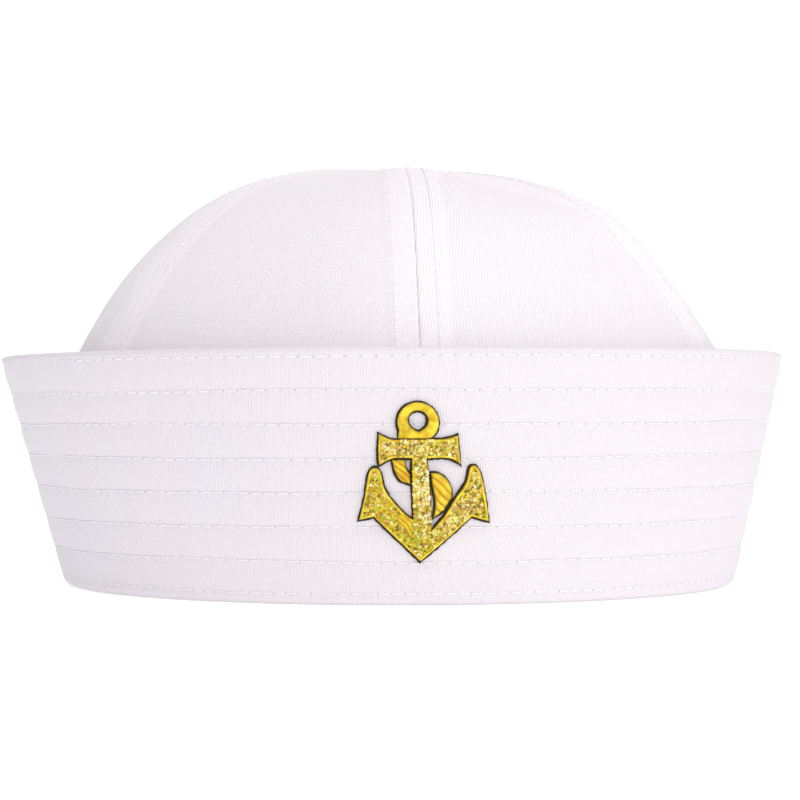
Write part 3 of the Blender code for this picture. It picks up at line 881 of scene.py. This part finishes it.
# Outlines: distance across from the patch's middle as a share of ANCHOR_WIDTH, height above the anchor's
# point as a share of ANCHOR_HEIGHT, and whether the outline turns a corner there.
BODY_OUTLINE = (
    (-0.335, 0.809, True),
    (-0.245, 0.775, False),
    (-0.150, 0.774, False),
    (0.060, 0.774, False),
    (0.165, 0.776, False),
    (0.261, 0.798, True),
    (0.268, 0.700, False),
    (0.276, 0.616, True),
    (0.190, 0.654, False),
    (0.019, 0.655, True),
    (0.040, 0.430, False),
    (0.036, 0.192, True),
    (0.138, 0.285, False),
    (0.225, 0.395, False),
    (0.310, 0.495, False),
    (0.345, 0.592, False),
    (0.385, 0.606, False),
    (0.425, 0.560, False),
    (0.462, 0.400, False),
    (0.480, 0.252, True),
    (0.350, 0.284, True),
    (0.156, 0.141, False),
    (-0.047, 0.000, True),
    (-0.210, 0.133, False),
    (-0.392, 0.286, True),
    (-0.504, 0.264, True),
    (-0.460, 0.400, False),
    (-0.420, 0.560, False),
    (-0.375, 0.595, False),
    (-0.330, 0.568, False),
    (-0.295, 0.450, False),
    (-0.180, 0.325, False),
    (-0.090, 0.262, True),
    (-0.094, 0.440, False),
    (-0.091, 0.655, True),
    (-0.230, 0.655, False),
    (-0.340, 0.612, True),
    (-0.344, 0.702, False),
)
UPPER_ROPE_OUTLINE = (
    (-0.240, 0.644, True),
    (-0.146, 0.644, True),
    (-0.136, 0.592, False),
    (-0.109, 0.548, True),
    (-0.108, 0.492, True),
    (-0.178, 0.513, False),
    (-0.221, 0.570, False),
)
RIGHT_ROPE_OUTLINE = (
    (0.051, 0.560, True),
    (0.112, 0.556, False),
    (0.174, 0.515, False),
    (0.202, 0.458, False),
    (0.204, 0.408, True),
    (0.138, 0.324, True),
    (0.060, 0.274, True),
    (0.078, 0.370, False),
    (0.068, 0.440, False),
    (0.057, 0.490, True),
)
LOWER_ROPE_OUTLINE = (
    (-0.235, 0.292, True),
    (-0.166, 0.302, False),
    (-0.108, 0.268, True),
    (-0.103, 0.205, False),
    (-0.108, 0.156, True),
    (-0.166, 0.206, False),
)
RING_CENTRE = (-0.036, 0.880)
COLLAR_DROP = 0.103
COLLAR_BEARINGS = (math.radians(220.0), math.radians(305.0))
COLLAR_EASE = math.radians(17.0)


def widened(points, distance):
    """A clockwise ring of points moved outwards by a distance, or inwards if it is negative."""
    before = points - np.roll(points, 1, axis=0)
    before /= np.linalg.norm(before, axis=1, keepdims=True)
    after = np.roll(before, -1, axis=0)
    side = np.stack([-before[:, 1] - after[:, 1], before[:, 0] + after[:, 0]], axis=1)
    side /= np.linalg.norm(side, axis=1, keepdims=True)
    lean = side[:, 1] * before[:, 0] - side[:, 0] * before[:, 1]
    return points + side * distance / np.maximum(0.55, lean)[:, None]


def traced(outline, step, margin=0.0):
    """An outline as a ring of points: straight to each corner, curved through the rest, and widened."""
    drawn = np.array([(across * ANCHOR_WIDTH, up * ANCHOR_HEIGHT) for across, up, _ in outline])
    corners = [corner for _, _, corner in outline]
    moved = widened(drawn, margin)
    points = []
    for index in range(len(drawn)):
        ahead, beyond = (index + 1) % len(drawn), (index + 2) % len(drawn)
        start, end = moved[index], moved[ahead]
        before = start if corners[index] else moved[index - 1]
        after = end if corners[ahead] else moved[beyond]
        steps = max(1, round(float(np.linalg.norm(drawn[ahead] - drawn[index])) / step))
        t = (np.arange(steps) / steps)[:, None]
        points.append(
            start * (2 * t**3 - 3 * t**2 + 1)
            + (end - before) / 2 * (t**3 - 2 * t**2 + t)
            + end * (3 * t**2 - 2 * t**3)
            + (after - start) / 2 * (t**3 - t**2)
        )
    return np.concatenate(points)


def ring_edge(radius, steps, with_collar):
    """The ring's outer or inner edge as a clockwise ring of points. The hole is a little pointed below."""
    bearing = math.tau * (1 - np.arange(steps) / steps)
    if with_collar:
        near = np.clip(bearing, *COLLAR_BEARINGS)
        flat = COLLAR_DROP * ANCHOR_HEIGHT / np.abs(np.sin(near))
        reach = flat + (radius - flat) * np.minimum(1.0, np.abs(bearing - near) / COLLAR_EASE)
    else:
        reach = radius * (1 + 0.16 * bell(turn_between(bearing, -math.pi / 2), 0.34))
    centre = np.array((RING_CENTRE[0] * ANCHOR_WIDTH, RING_CENTRE[1] * ANCHOR_HEIGHT))
    if not with_collar:
        centre[1] += HOLE_RAISE
    return centre + reach[:, None] * np.stack([np.cos(bearing), np.sin(bearing)], axis=1)


def on_brim(across, up, lift):
    """Points of the flat patch carried onto the brim's outer face, at a height above its cloth."""
    level = BRIM_HEIGHT / 2 - ANCHOR_DROP + (up - ANCHOR_HEIGHT / 2) * math.cos(BRIM_FLARE)
    outward = wall_outward(level)
    bearing = np.arcsin((across + ANCHOR_SHIFT) / (HALF_WIDTH + outward))
    return brim_place(bearing, outward + lift * math.cos(BRIM_FLARE), level - lift * math.sin(BRIM_FLARE))


def add_plate(bm, loops, low, high, strip):
    """A flat plate between two heights, cut into a fine net so that it can follow the brim."""
    plate = bmesh.new()
    rings = [[plate.verts.new((x, y, low)) for x, y in loop] for loop in loops]
    edges = [[plate.edges.new(pair) for pair in zip(ring, ring[1:] + ring[:1])] for ring in rings]
    if len(rings) == 1:
        faces = [plate.faces.new(rings[0])]
    else:
        faces = bmesh.ops.bridge_loops(plate, edges=edges[0] + edges[1])["faces"]
    raised = bmesh.ops.extrude_face_region(plate, geom=faces, use_keep_orig=True)["geom"]
    tops = [item for item in raised if isinstance(item, bmesh.types.BMVert)]
    bmesh.ops.translate(plate, verts=tops, vec=(0, 0, high - low))
    bmesh.ops.recalc_face_normals(plate, faces=plate.faces)
    box = np.concatenate(loops)
    for axis in (0, 1):
        places = np.arange(box[:, axis].min() + strip / 2, box[:, axis].max(), strip)
        for place in places:
            geom = plate.verts[:] + plate.edges[:] + plate.faces[:]
            spot = Vector((place, 0, 0)) if axis == 0 else Vector((0, place, 0))
            way = (1, 0, 0) if axis == 0 else (0, 1, 0)
            bmesh.ops.bisect_plane(plate, geom=geom, dist=1e-7, plane_co=spot, plane_no=way)
    bmesh.ops.triangulate(plate, faces=plate.faces)
    flat = finish_mesh("plate", plate)
    bm.from_mesh(flat)
    bpy.data.meshes.remove(flat)


def bend_onto_brim(bm):
    spots = np.array([vert.co for vert in bm.verts])
    for vert, spot in zip(bm.verts, on_brim(spots[:, 0], spots[:, 1], spots[:, 2])):
        vert.co = spot


def ragged(points, seed):
    """An edge cut by hand: a ring of points that strays in and out a little."""
    draw = random.Random(seed)
    stray = np.array([draw.uniform(-1, 1) for _ in points])
    stray = (stray + np.roll(stray, 1) + np.roll(stray, -1)) / 3
    moved = widened(points, 0.01 * MM) - points
    return points + moved / (0.01 * MM) * (stray * FELT_RAGGED)[:, None]


def make_felt():
    bm = bmesh.new()
    eye = [ring_edge(RING_RADIUS + FELT_MARGIN, 90, True), ring_edge(RING_HOLE - FELT_MARGIN, 90, False)]
    felt = (
        [ragged(traced(BODY_OUTLINE, FELT_STEP, FELT_MARGIN), 1)],
        [ragged(eye[0], 2), ragged(eye[1], 3)],
        [ragged(traced(UPPER_ROPE_OUTLINE, FELT_STEP, FELT_MARGIN), 4)],
        [ragged(traced(RIGHT_ROPE_OUTLINE, FELT_STEP, FELT_MARGIN), 5)],
    )
    for index, loops in enumerate(felt):
        # Each piece of felt is a shade thinner than the last, so that no two of their faces coincide.
        loops = [loop + FELT_SHADOW_SHIFT for loop in loops]
        add_plate(bm, loops, FELT_LOW, FELT_HIGH - FELT_THINNER * index, PATCH_STRIP)
    bend_onto_brim(bm)
    material, tree, shader = start_material("dark_felt", roughness=0.95, specular=0.2, sheen=0.15)
    fibres = add_noise(tree, object_place(tree), 2600.0, 4.0)
    tree.links.new(blend_colours(tree, fibres, FELT_DARK, FELT_PALE), shader.inputs["Base Color"])
    add_relief(tree, fibres, 0.15 * MM)
    add_piece("anchor_felt", bm, material, ("anchor_backing",))


make_felt()


# Satin frame and ring
# Close rows of shiny gold thread, worked over a cord from edge to edge: a narrow raised frame round the
# anchor's body, and a broad flat ring at its top. Both are sewn to the felt.
FRAME_WIDTH = 0.80 * MM
SATIN_LOW = 0.70 * MM
FRAME_HEIGHT = 0.66 * MM
RING_HEIGHT = 0.62 * MM
SATIN_PITCH = 0.26 * MM
SATIN_RELIEF = 0.035 * MM
STEPS_PER_THREAD = 3
RING_STEPS = 360
ARCH_STEPS = 10
FRAME_PLUMP = 0.8
RING_PLUMP = 0.6
GOLD = (0.79, 0.55, 0.018, 1.0)
BRIGHT_GOLD = (0.99, 0.84, 0.070, 1.0)
AMBER = (0.66, 0.36, 0.008, 1.0)
ORANGE_SHADE = (0.34, 0.125, 0.006, 1.0)
BLOTCH_SCALE = 520.0


def build_satin_group():
    """Satin stitch: fine parallel threads, each of its own shade, from a map of thread and place."""
    group = bpy.data.node_groups.new("Satin Threads", "ShaderNodeTree")
    inputs = (("NodeSocketVector", "Threads", None), ("NodeSocketFloat", "Shade Depth", 0.5))
    outputs = (("NodeSocketFloat", "Height"), ("NodeSocketFloat", "Lightness"))
    given, made = name_sockets(group, inputs, outputs)
    count = split_parts(group, given.outputs["Threads"])["X"]
    part = calculate(group, "MULTIPLY", calculate(group, "FRACT", count), math.pi)
    ridge = calculate(group, "SINE", part)
    group.links.new(ridge, made.inputs["Height"])
    each = group.nodes.new("ShaderNodeTexWhiteNoise")
    each.noise_dimensions = "1D"
    group.links.new(calculate(group, "FLOOR", count), each.inputs["W"])
    slow = group.nodes.new("ShaderNodeTexNoise")
    slow.noise_dimensions = "1D"
    slow.inputs["Scale"].default_value = 0.12
    group.links.new(count, slow.inputs["W"])
    single = calculate(group, "MULTIPLY", each.outputs["Value"], 0.3)
    mixed = calculate(group, "MULTIPLY_ADD", slow.outputs["Fac"], 1.9, single)
    # Each thread is painted lighter on its crest and darker at its sides: a painted highlight and painted
    # shade. The noises vary each thread's tone at random.
    shaded = calculate(group, "MULTIPLY_ADD", ridge, given.outputs["Shade Depth"], mixed)
    group.links.new(calculate(group, "SUBTRACT", shaded, 0.85), made.inputs["Lightness"])
    return group


satin_group = build_satin_group()


def make_gold_satin(name, edge_shade, falloff):
    """Shiny gold thread. The map's second number runs across the band: both edges fall into shade."""
    material, tree, shader = start_material(name, roughness=0.36, specular=0.4, sheen=0.0, metallic=0.45)
    threads = read_map(tree, "threads")
    satin = place_group(tree, satin_group)
    tree.links.new(threads, satin.inputs["Threads"])
    # Lighter threads and the painted highlight on their crests both take the brighter gold.
    colour = blend_colours(tree, clamped(tree, satin.outputs["Lightness"]), GOLD, BRIGHT_GOLD)
    blotch = add_noise(tree, object_place(tree), BLOTCH_SCALE, 4.0)
    colour = blend_colours(tree, add_ramp(tree, blotch, 0.44, 0.66, 0.8), colour, AMBER)
    place = split_parts(tree, threads)["Y"]
    edge = calculate(tree, "ABSOLUTE", calculate(tree, "MULTIPLY_ADD", place, 2.0, -1.0))
    shade = calculate(tree, "MULTIPLY", calculate(tree, "POWER", edge, falloff), edge_shade)
    colour = blend_colours(tree, shade, colour, ORANGE_SHADE)
    tree.links.new(colour, shader.inputs["Base Color"])
    add_relief(tree, satin.outputs["Height"], 0.05 * MM)
    return material


def make_satin_band(name, outer, inner, height, material, replaces, plump):
    """A closed tube of satin stitch between two rings of as many points, arched above and flat below."""
    share = (1 - np.cos(np.linspace(0, math.pi, ARCH_STEPS + 1))) / 2
    arch = np.sin(np.linspace(0, math.pi, ARCH_STEPS + 1)) ** plump
    across = np.concatenate([share, [0.5, 0.0]])
    raised = np.concatenate([arch, [0.0, 0.0]])
    outer, inner = (np.concatenate([edge, edge[:1]]) for edge in (outer, inner))
    travelled = np.cumsum(np.linalg.norm(np.diff(outer, axis=0), axis=1))
    threads = round(travelled[-1] / SATIN_PITCH)
    count = np.concatenate([[0.0], travelled]) / travelled[-1] * threads
    flat = outer[:, None] + (inner - outer)[:, None] * across[None, :, None]
    count = count[:, None] + 0.8 * across[None, :]
    ripple = np.abs(np.sin(math.pi * count)) * SATIN_RELIEF
    lift = SATIN_LOW + raised[None, :] * (height + ripple)
    bm = bmesh.new()
    keys = fill_grid(bm, on_brim(flat[..., 0], flat[..., 1], lift))
    layer = bm.loops.layers.uv.new("threads")
    spread = np.broadcast_to(across, count.shape)
    for face in bm.faces:
        for corner in face.loops:
            key = keys[corner.vert.index]
            corner[layer].uv = (count[key], spread[key])
    bmesh.ops.remove_doubles(bm, verts=bm.verts, dist=0.002 * MM)
    bmesh.ops.recalc_face_normals(bm, faces=bm.faces)
    add_piece(name, bm, material, replaces)


frame_step = SATIN_PITCH / STEPS_PER_THREAD
frame_satin = make_gold_satin("frame_satin", 0.75, 4.0)
outer = traced(BODY_OUTLINE, frame_step)
inner = traced(BODY_OUTLINE, frame_step, -FRAME_WIDTH)
make_satin_band("anchor_border", outer, inner, FRAME_HEIGHT, frame_satin, ("anchor_frame",), FRAME_PLUMP)
ring_satin = make_gold_satin("ring_satin", 0.5, 4.0)
outer = ring_edge(RING_RADIUS, RING_STEPS, True)
inner = ring_edge(RING_HOLE, RING_STEPS, False)
make_satin_band("anchor_eye", outer, inner, RING_HEIGHT, ring_satin, ("anchor_ring",), RING_PLUMP)


# Glitter inlay
# Cloth covered in small six-sided metallic flakes of pale gold, rose, green and olive, laid flat inside the
# frame. Each flake lies at its own tilt, so it catches the light its own way.
INLAY_HIGH = 1.14 * MM
FLAKE_RADIUS = 0.50 * MM
FLAKE_THICK = 0.04 * MM
FLAKE_COUNT = 1500
FLAKE_TRIES = 9000
FLAKE_TILT = math.radians(15.0)
FLAKE_SIZES = (0.65, 1.1)
FLAKE_MARGIN = 0.68 * MM
SHANK_FLAKE_MARGIN = 0.24 * MM
FLAKE_EDGE_STEP = 0.8 * MM
FRAME_FALL = 0.55 * MM
FLAKE_SHADE = (0.40, 0.26, 0.05, 1.0)
CLOTH_GOLDS = ((0.60, 0.38, 0.02, 1.0), (0.80, 0.65, 0.12, 1.0))
CLOTH_DARK = (0.20, 0.17, 0.03, 1.0)
FLAKE_COLOURS = (
    (0.84, 0.75, 0.22),
    (0.67, 0.44, 0.13),
    (0.46, 0.29, 0.05),
    (0.78, 0.59, 0.03),
    (0.47, 0.55, 0.03),
    (0.24, 0.21, 0.02),
    (0.64, 0.36, 0.02),
    (0.95, 0.88, 0.50),
)

# Zones of the anchor: middle across and up, spread, and how often each colour comes up there: cream, rose,
# tan, yellow, green, olive, orange, white.
FLAKE_ZONES = (
    (-0.36, 0.38, 0.20, (1, 1, 2, 5, 2, 2, 5, 1)),
    (-0.20, 0.18, 0.14, (1, 1, 1, 5, 4, 2, 4, 0)),
    (0.00, 0.10, 0.12, (4, 1, 1, 3, 4, 2, 1, 2)),
    (0.22, 0.24, 0.14, (6, 3, 2, 3, 1, 2, 1, 3)),
    (0.40, 0.42, 0.18, (5, 3, 3, 4, 1, 3, 1, 2)),
    (-0.01, 0.50, 0.20, (7, 2, 1, 3, 1, 2, 1, 5)),
    (-0.18, 0.70, 0.14, (4, 5, 3, 2, 0, 2, 1, 3)),
    (0.18, 0.70, 0.12, (4, 2, 2, 3, 5, 2, 1, 2)),
)


def inside_ring(points, ring):
    """Which points lie inside a ring of points."""
    x, y = points[:, :1], points[:, 1:]
    ahead = np.roll(ring, -1, axis=0)
    crosses = (ring[:, 1] > y) != (ahead[:, 1] > y)
    rise = np.where(ahead[:, 1] == ring[:, 1], 1.0, ahead[:, 1] - ring[:, 1])
    meets = ring[:, 0] + (y - ring[:, 1]) / rise * (ahead[:, 0] - ring[:, 0])
    return (crosses & (x < meets)).sum(axis=1) % 2 == 1


def distance_to_ring(points, ring):
    """How far each point lies from a ring of points."""
    start, end = ring[None], np.roll(ring, -1, axis=0)[None]
    way = end - start
    share = ((points[:, None] - start) * way).sum(-1) / np.maximum(1e-15, (way * way).sum(-1))
    nearest = start + np.clip(share, 0, 1)[..., None] * way
    return np.linalg.norm(points[:, None] - nearest, axis=-1).min(axis=1)


def make_flake():
    bm = bmesh.new()
    bmesh.ops.create_cone(
        bm, cap_ends=True, segments=6, radius1=FLAKE_RADIUS, radius2=0.9 * FLAKE_RADIUS, depth=FLAKE_THICK
    )
    bm.loops.layers.uv.new("flake")
    return finish_mesh("flake", bm)


def make_glitter():
    """Flakes strewn over the inlay. A flake's map holds its colour and how bright it is."""
    draw = random.Random(5)
    bed = traced(BODY_OUTLINE, FLAKE_EDGE_STEP, -FLAKE_MARGIN)
    broad = traced(BODY_OUTLINE, FLAKE_EDGE_STEP, -SHANK_FLAKE_MARGIN)
    (left, low), (right, high) = broad.min(axis=0), broad.max(axis=0)
    tries = np.array([(draw.uniform(left, right), draw.uniform(low, high)) for _ in range(FLAKE_TRIES)])
    # On the shank and under the ring the flakes run almost to the edge and cover the frame.
    across, up = tries[:, 0] / ANCHOR_WIDTH, tries[:, 1] / ANCHOR_HEIGHT
    on_shank = (np.abs(across + 0.03) < 0.075) & (up > 0.2)
    below_ring = (np.abs(across + 0.03) < 0.16) & (up > 0.69)
    covered = (on_shank | below_ring) & inside_ring(tries, broad)
    spots = tries[inside_ring(tries, bed) | covered][:FLAKE_COUNT]
    frame_line = traced(BODY_OUTLINE, FLAKE_EDGE_STEP, -FRAME_WIDTH / 2)
    near_frame = distance_to_ring(spots, frame_line)
    shape = make_flake()
    bm = bmesh.new()
    for (across, up), near_line in zip(spots, near_frame):
        x, y = across / ANCHOR_WIDTH, up / ANCHOR_HEIGHT
        near = [bell(math.hypot(x - middle, y - level), spread) for middle, level, spread, _ in FLAKE_ZONES]
        odds = sum(share * np.array(zone[3]) for share, zone in zip(near, FLAKE_ZONES)) + 0.01
        colour = draw.choices(range(len(FLAKE_COLOURS)), weights=odds)[0]
        tilt = Matrix.Rotation(draw.uniform(-1, 1) * FLAKE_TILT, 4, "X")
        tilt = tilt @ Matrix.Rotation(draw.uniform(-1, 1) * FLAKE_TILT, 4, "Y")
        turn = Matrix.Rotation(draw.uniform(0, math.pi / 3), 4, "Z")
        turn = turn @ Matrix.Scale(draw.uniform(*FLAKE_SIZES), 4)
        rise = (SATIN_LOW + FRAME_HEIGHT - INLAY_HIGH) * bell(near_line, FRAME_FALL)
        lift = INLAY_HIGH + rise + draw.uniform(0.02, 0.16) * MM
        seat, side = on_brim(across, up, lift), on_brim(across + 0.1 * MM, up, lift)
        outward = on_brim(across, up, lift + 0.1 * MM) - seat
        copy = shape.copy()
        copy.transform(laid(seat, side - seat, outward) @ tilt @ turn)
        shown = [(colour + 0.5) / len(FLAKE_COLOURS), draw.uniform(0, 1)]
        copy.uv_layers["flake"].data.foreach_set("uv", shown * len(copy.loops))
        bm.from_mesh(copy)
        bpy.data.meshes.remove(copy)
    material, tree, shader = start_material("glitter_flakes", roughness=0.34, metallic=0.65)
    flake = split_parts(tree, read_map(tree, "flake"))
    palette = tree.nodes.new("ShaderNodeValToRGB")
    palette.color_ramp.interpolation = "CONSTANT"
    stops = palette.color_ramp.elements
    while len(stops) < len(FLAKE_COLOURS):
        stops.new(0.5)
    for index, colour in enumerate(FLAKE_COLOURS):
        stops[index].position = index / len(FLAKE_COLOURS)
        stops[index].color = colour + (1.0,)
    tree.links.new(flake["X"], palette.inputs["Fac"])
    dim = calculate(tree, "MULTIPLY", flake["Y"], 0.35)
    colour = blend_colours(tree, dim, palette.outputs["Color"], FLAKE_SHADE, "MULTIPLY")
    tree.links.new(colour, shader.inputs["Base Color"])
    add_piece("glitter_flakes", bm, material)


def make_inlay():
    """The cloth under the flakes, coloured by small cells of the same finish."""
    bm = bmesh.new()
    add_plate(bm, [traced(BODY_OUTLINE, 0.6 * MM, -0.6 * FRAME_WIDTH)], SATIN_LOW, INLAY_HIGH, PATCH_STRIP)
    bend_onto_brim(bm)
    material, tree, shader = start_material("glitter_cloth", roughness=0.35, metallic=0.6)
    cells = tree.nodes.new("ShaderNodeTexVoronoi")
    cells.inputs["Scale"].default_value = 1500.0
    tree.links.new(object_place(tree), cells.inputs["Vector"])
    tint = tree.nodes.new("ShaderNodeSeparateColor")
    tree.links.new(cells.outputs["Color"], tint.inputs["Color"])
    colour = blend_colours(tree, tint.outputs["Red"], *CLOTH_GOLDS)
    dark = calculate(tree, "GREATER_THAN", tint.outputs["Green"], 0.72)
    colour = blend_colours(tree, dark, colour, CLOTH_DARK)
    tree.links.new(colour, shader.inputs["Base Color"])
    add_relief(tree, tint.outputs["Blue"], 0.08 * MM)
    add_piece("anchor_glitter", bm, material, ("anchor_inlay",))


make_inlay()
make_glitter()


# Rope
# Three visible lengths of a twisted rope that winds round the anchor, worked in gold satin stitch: thick
# slanting strands side by side with grooves between them, sewn over the felt. The grooves are darkened with
# painted shade.
ROPE_NET = 0.24 * MM
ROPE_EDGE = 0.9 * MM
STRAND_BOW = 0.28 * MM
STRAND_WAVE = 1.3

# Name of the solid, outline, strand direction in degrees, strand width in mm, low and high in mm.
ROPES = (
    ("anchor_rope_upper", UPPER_ROPE_OUTLINE, -46.0, 1.30, 0.70, 1.40),
    ("anchor_rope_right", RIGHT_ROPE_OUTLINE, -40.0, 1.70, 0.70, 1.45),
    ("anchor_rope_lower", LOWER_ROPE_OUTLINE, -50.0, 1.15, 1.05, 1.75),
)


def make_rope(name, outline, slant, width, low, high):
    """One length of rope: a plate whose top swells from its edge and is ridged by its strands."""
    ring = traced(outline, 0.4 * MM)
    bm = bmesh.new()
    add_plate(bm, [ring], low * MM, high * MM, ROPE_NET)
    spots = np.array([vert.co for vert in bm.verts])
    edge = np.clip(distance_to_ring(spots[:, :2], ring) / ROPE_EDGE, 0.0, 1.0)
    angle = math.radians(slant)
    along = (spots[:, 0] * math.cos(angle) + spots[:, 1] * math.sin(angle)) / MM
    bow = STRAND_BOW * np.sin(along / STRAND_WAVE)
    phase = (spots[:, 1] * math.cos(angle) - spots[:, 0] * math.sin(angle) + bow) / (width * MM)
    strand = (0.5 - 0.5 * np.cos(math.tau * phase)) ** 0.6
    swell = 0.15 + 0.85 * np.sqrt(1 - (1 - edge) ** 2)
    top = spots[:, 2] > (low + high) / 2 * MM
    raised = low * MM + (high - low) * MM * swell * (0.55 + 0.45 * strand)
    spots[:, 2] = np.where(top, raised, spots[:, 2])
    layer = bm.loops.layers.uv.new("threads")
    bm.verts.index_update()
    for face in bm.faces:
        middle = np.floor(np.mean([phase[corner.vert.index] for corner in face.loops]))
        for corner in face.loops:
            index = corner.vert.index
            corner[layer].uv = ((phase[index] - middle) * 5 + along[index] * 0.35, phase[index] - middle)
    for vert, spot in zip(bm.verts, on_brim(*spots.T)):
        vert.co = spot
    add_piece(f"{name}_strands", bm, rope_satin, (name,))


rope_satin = make_gold_satin("rope_satin", 0.75, 2.4)
for rope in ROPES:
    make_rope(*rope)


# Studio
# A pale seamless sweep that glows a little, as a light table does, soft lights from the front, the right and
# above, and the photograph's own view.
SWEEP_HALF = 2.4
SWEEP_START = 0.9
SWEEP_RADIUS = 0.7
SWEEP_STEPS = 16
SWEEP_TOP = 3.0
SWEEP_GLOW = 0.37
ROOM_GLOW = 0.55
SEEN_GLOW = 0.5


def make_sweep():
    bm = bmesh.new()
    path = [(-SWEEP_HALF, 0.0), (SWEEP_START, 0.0)]
    for step in range(1, SWEEP_STEPS + 1):
        angle = math.pi / 2 * step / SWEEP_STEPS
        path.append((SWEEP_START + SWEEP_RADIUS * math.sin(angle), SWEEP_RADIUS * (1 - math.cos(angle))))
    path.append((SWEEP_START + SWEEP_RADIUS, SWEEP_TOP))
    verts = [bm.verts.new((-SWEEP_HALF, y, z)) for y, z in path]
    edges = [bm.edges.new(pair) for pair in zip(verts, verts[1:])]
    sheet = bmesh.ops.extrude_edge_only(bm, edges=edges)["geom"]
    moved = [item for item in sheet if isinstance(item, bmesh.types.BMVert)]
    bmesh.ops.translate(bm, verts=moved, vec=(2 * SWEEP_HALF, 0, 0))
    bmesh.ops.recalc_face_normals(bm, faces=bm.faces)
    mesh = finish_mesh("studio_sweep", bm)
    mesh.shade_smooth()
    material, tree, shader = start_material("pale_floor", roughness=0.9, specular=0.1)
    shader.inputs["Base Color"].default_value = (0.95, 0.95, 0.95, 1.0)
    shader.inputs["Emission Color"].default_value = (1.0, 1.0, 1.0, 1.0)
    shader.inputs["Emission Strength"].default_value = SWEEP_GLOW
    mesh.materials.append(material)
    sweep = bpy.data.objects.new("studio_sweep", mesh)
    bpy.context.scene.collection.objects.link(sweep)


def make_light(name, location, target, size, power, colour):
    light = bpy.data.lights.new(name, "AREA")
    light.shape = "DISK"
    light.size = size
    light.energy = power
    light.color = colour
    lamp = bpy.data.objects.new(name, light)
    lamp.location = location
    lamp.rotation_euler = (Vector(target) - lamp.location).to_track_quat("-Z", "Y").to_euler()
    bpy.context.scene.collection.objects.link(lamp)


make_sweep()
cap_middle = (RIM_LEAN, 0.0, 0.05)
make_light("front_soft", (0.25, -1.35, 0.50), cap_middle, 0.9, 4.35, (1.0, 0.975, 0.97))
make_light("right_soft", (1.20, -0.45, 0.60), cap_middle, 0.9, 2.4, (1.0, 0.965, 0.955))
make_light("top_soft", (0.15, -0.45, 1.45), cap_middle, 1.2, 7.6, (1.0, 0.97, 0.965))

world = bpy.data.worlds.new("pale_room")
world.use_nodes = True
room = world.node_tree.nodes["Background"]
room.inputs["Color"].default_value = (0.95, 0.96, 1.0, 1.0)
# The room lights the cap softly, and looks white behind it from every side.
seen = world.node_tree.nodes.new("ShaderNodeLightPath").outputs["Is Camera Ray"]
glow = calculate(world.node_tree, "MULTIPLY_ADD", seen, SEEN_GLOW, ROOM_GLOW)
world.node_tree.links.new(glow, room.inputs["Strength"])
bpy.context.scene.world = world
bpy.context.scene.view_settings.view_transform = "Standard"

PHOTO_SIDE = 800
FOCAL_PIXELS = 2864.0
CAMERA_AWAY = 790.0 * MM
CAMERA_HEIGHT = 46.6 * MM
CAP_MIDDLE_PIXEL = 399.5
HORIZON_PIXEL = 412.0
lens = bpy.data.cameras.new("photo_lens")
lens.sensor_width = 36.0
lens.lens = lens.sensor_width * FOCAL_PIXELS / PHOTO_SIDE
lens.clip_start = 0.01
camera = bpy.data.objects.new("photo_camera", lens)
camera_x = RIM_LEAN + (PHOTO_SIDE / 2 - CAP_MIDDLE_PIXEL) / FOCAL_PIXELS * CAMERA_AWAY
camera.location = (camera_x, -CAMERA_AWAY, CAMERA_HEIGHT)
pitch_up = math.atan((HORIZON_PIXEL - PHOTO_SIDE / 2) / FOCAL_PIXELS)
camera.rotation_euler = (math.pi / 2 + pitch_up, 0.0, 0.0)
bpy.context.scene.collection.objects.link(camera)
bpy.context.scene.camera = camera
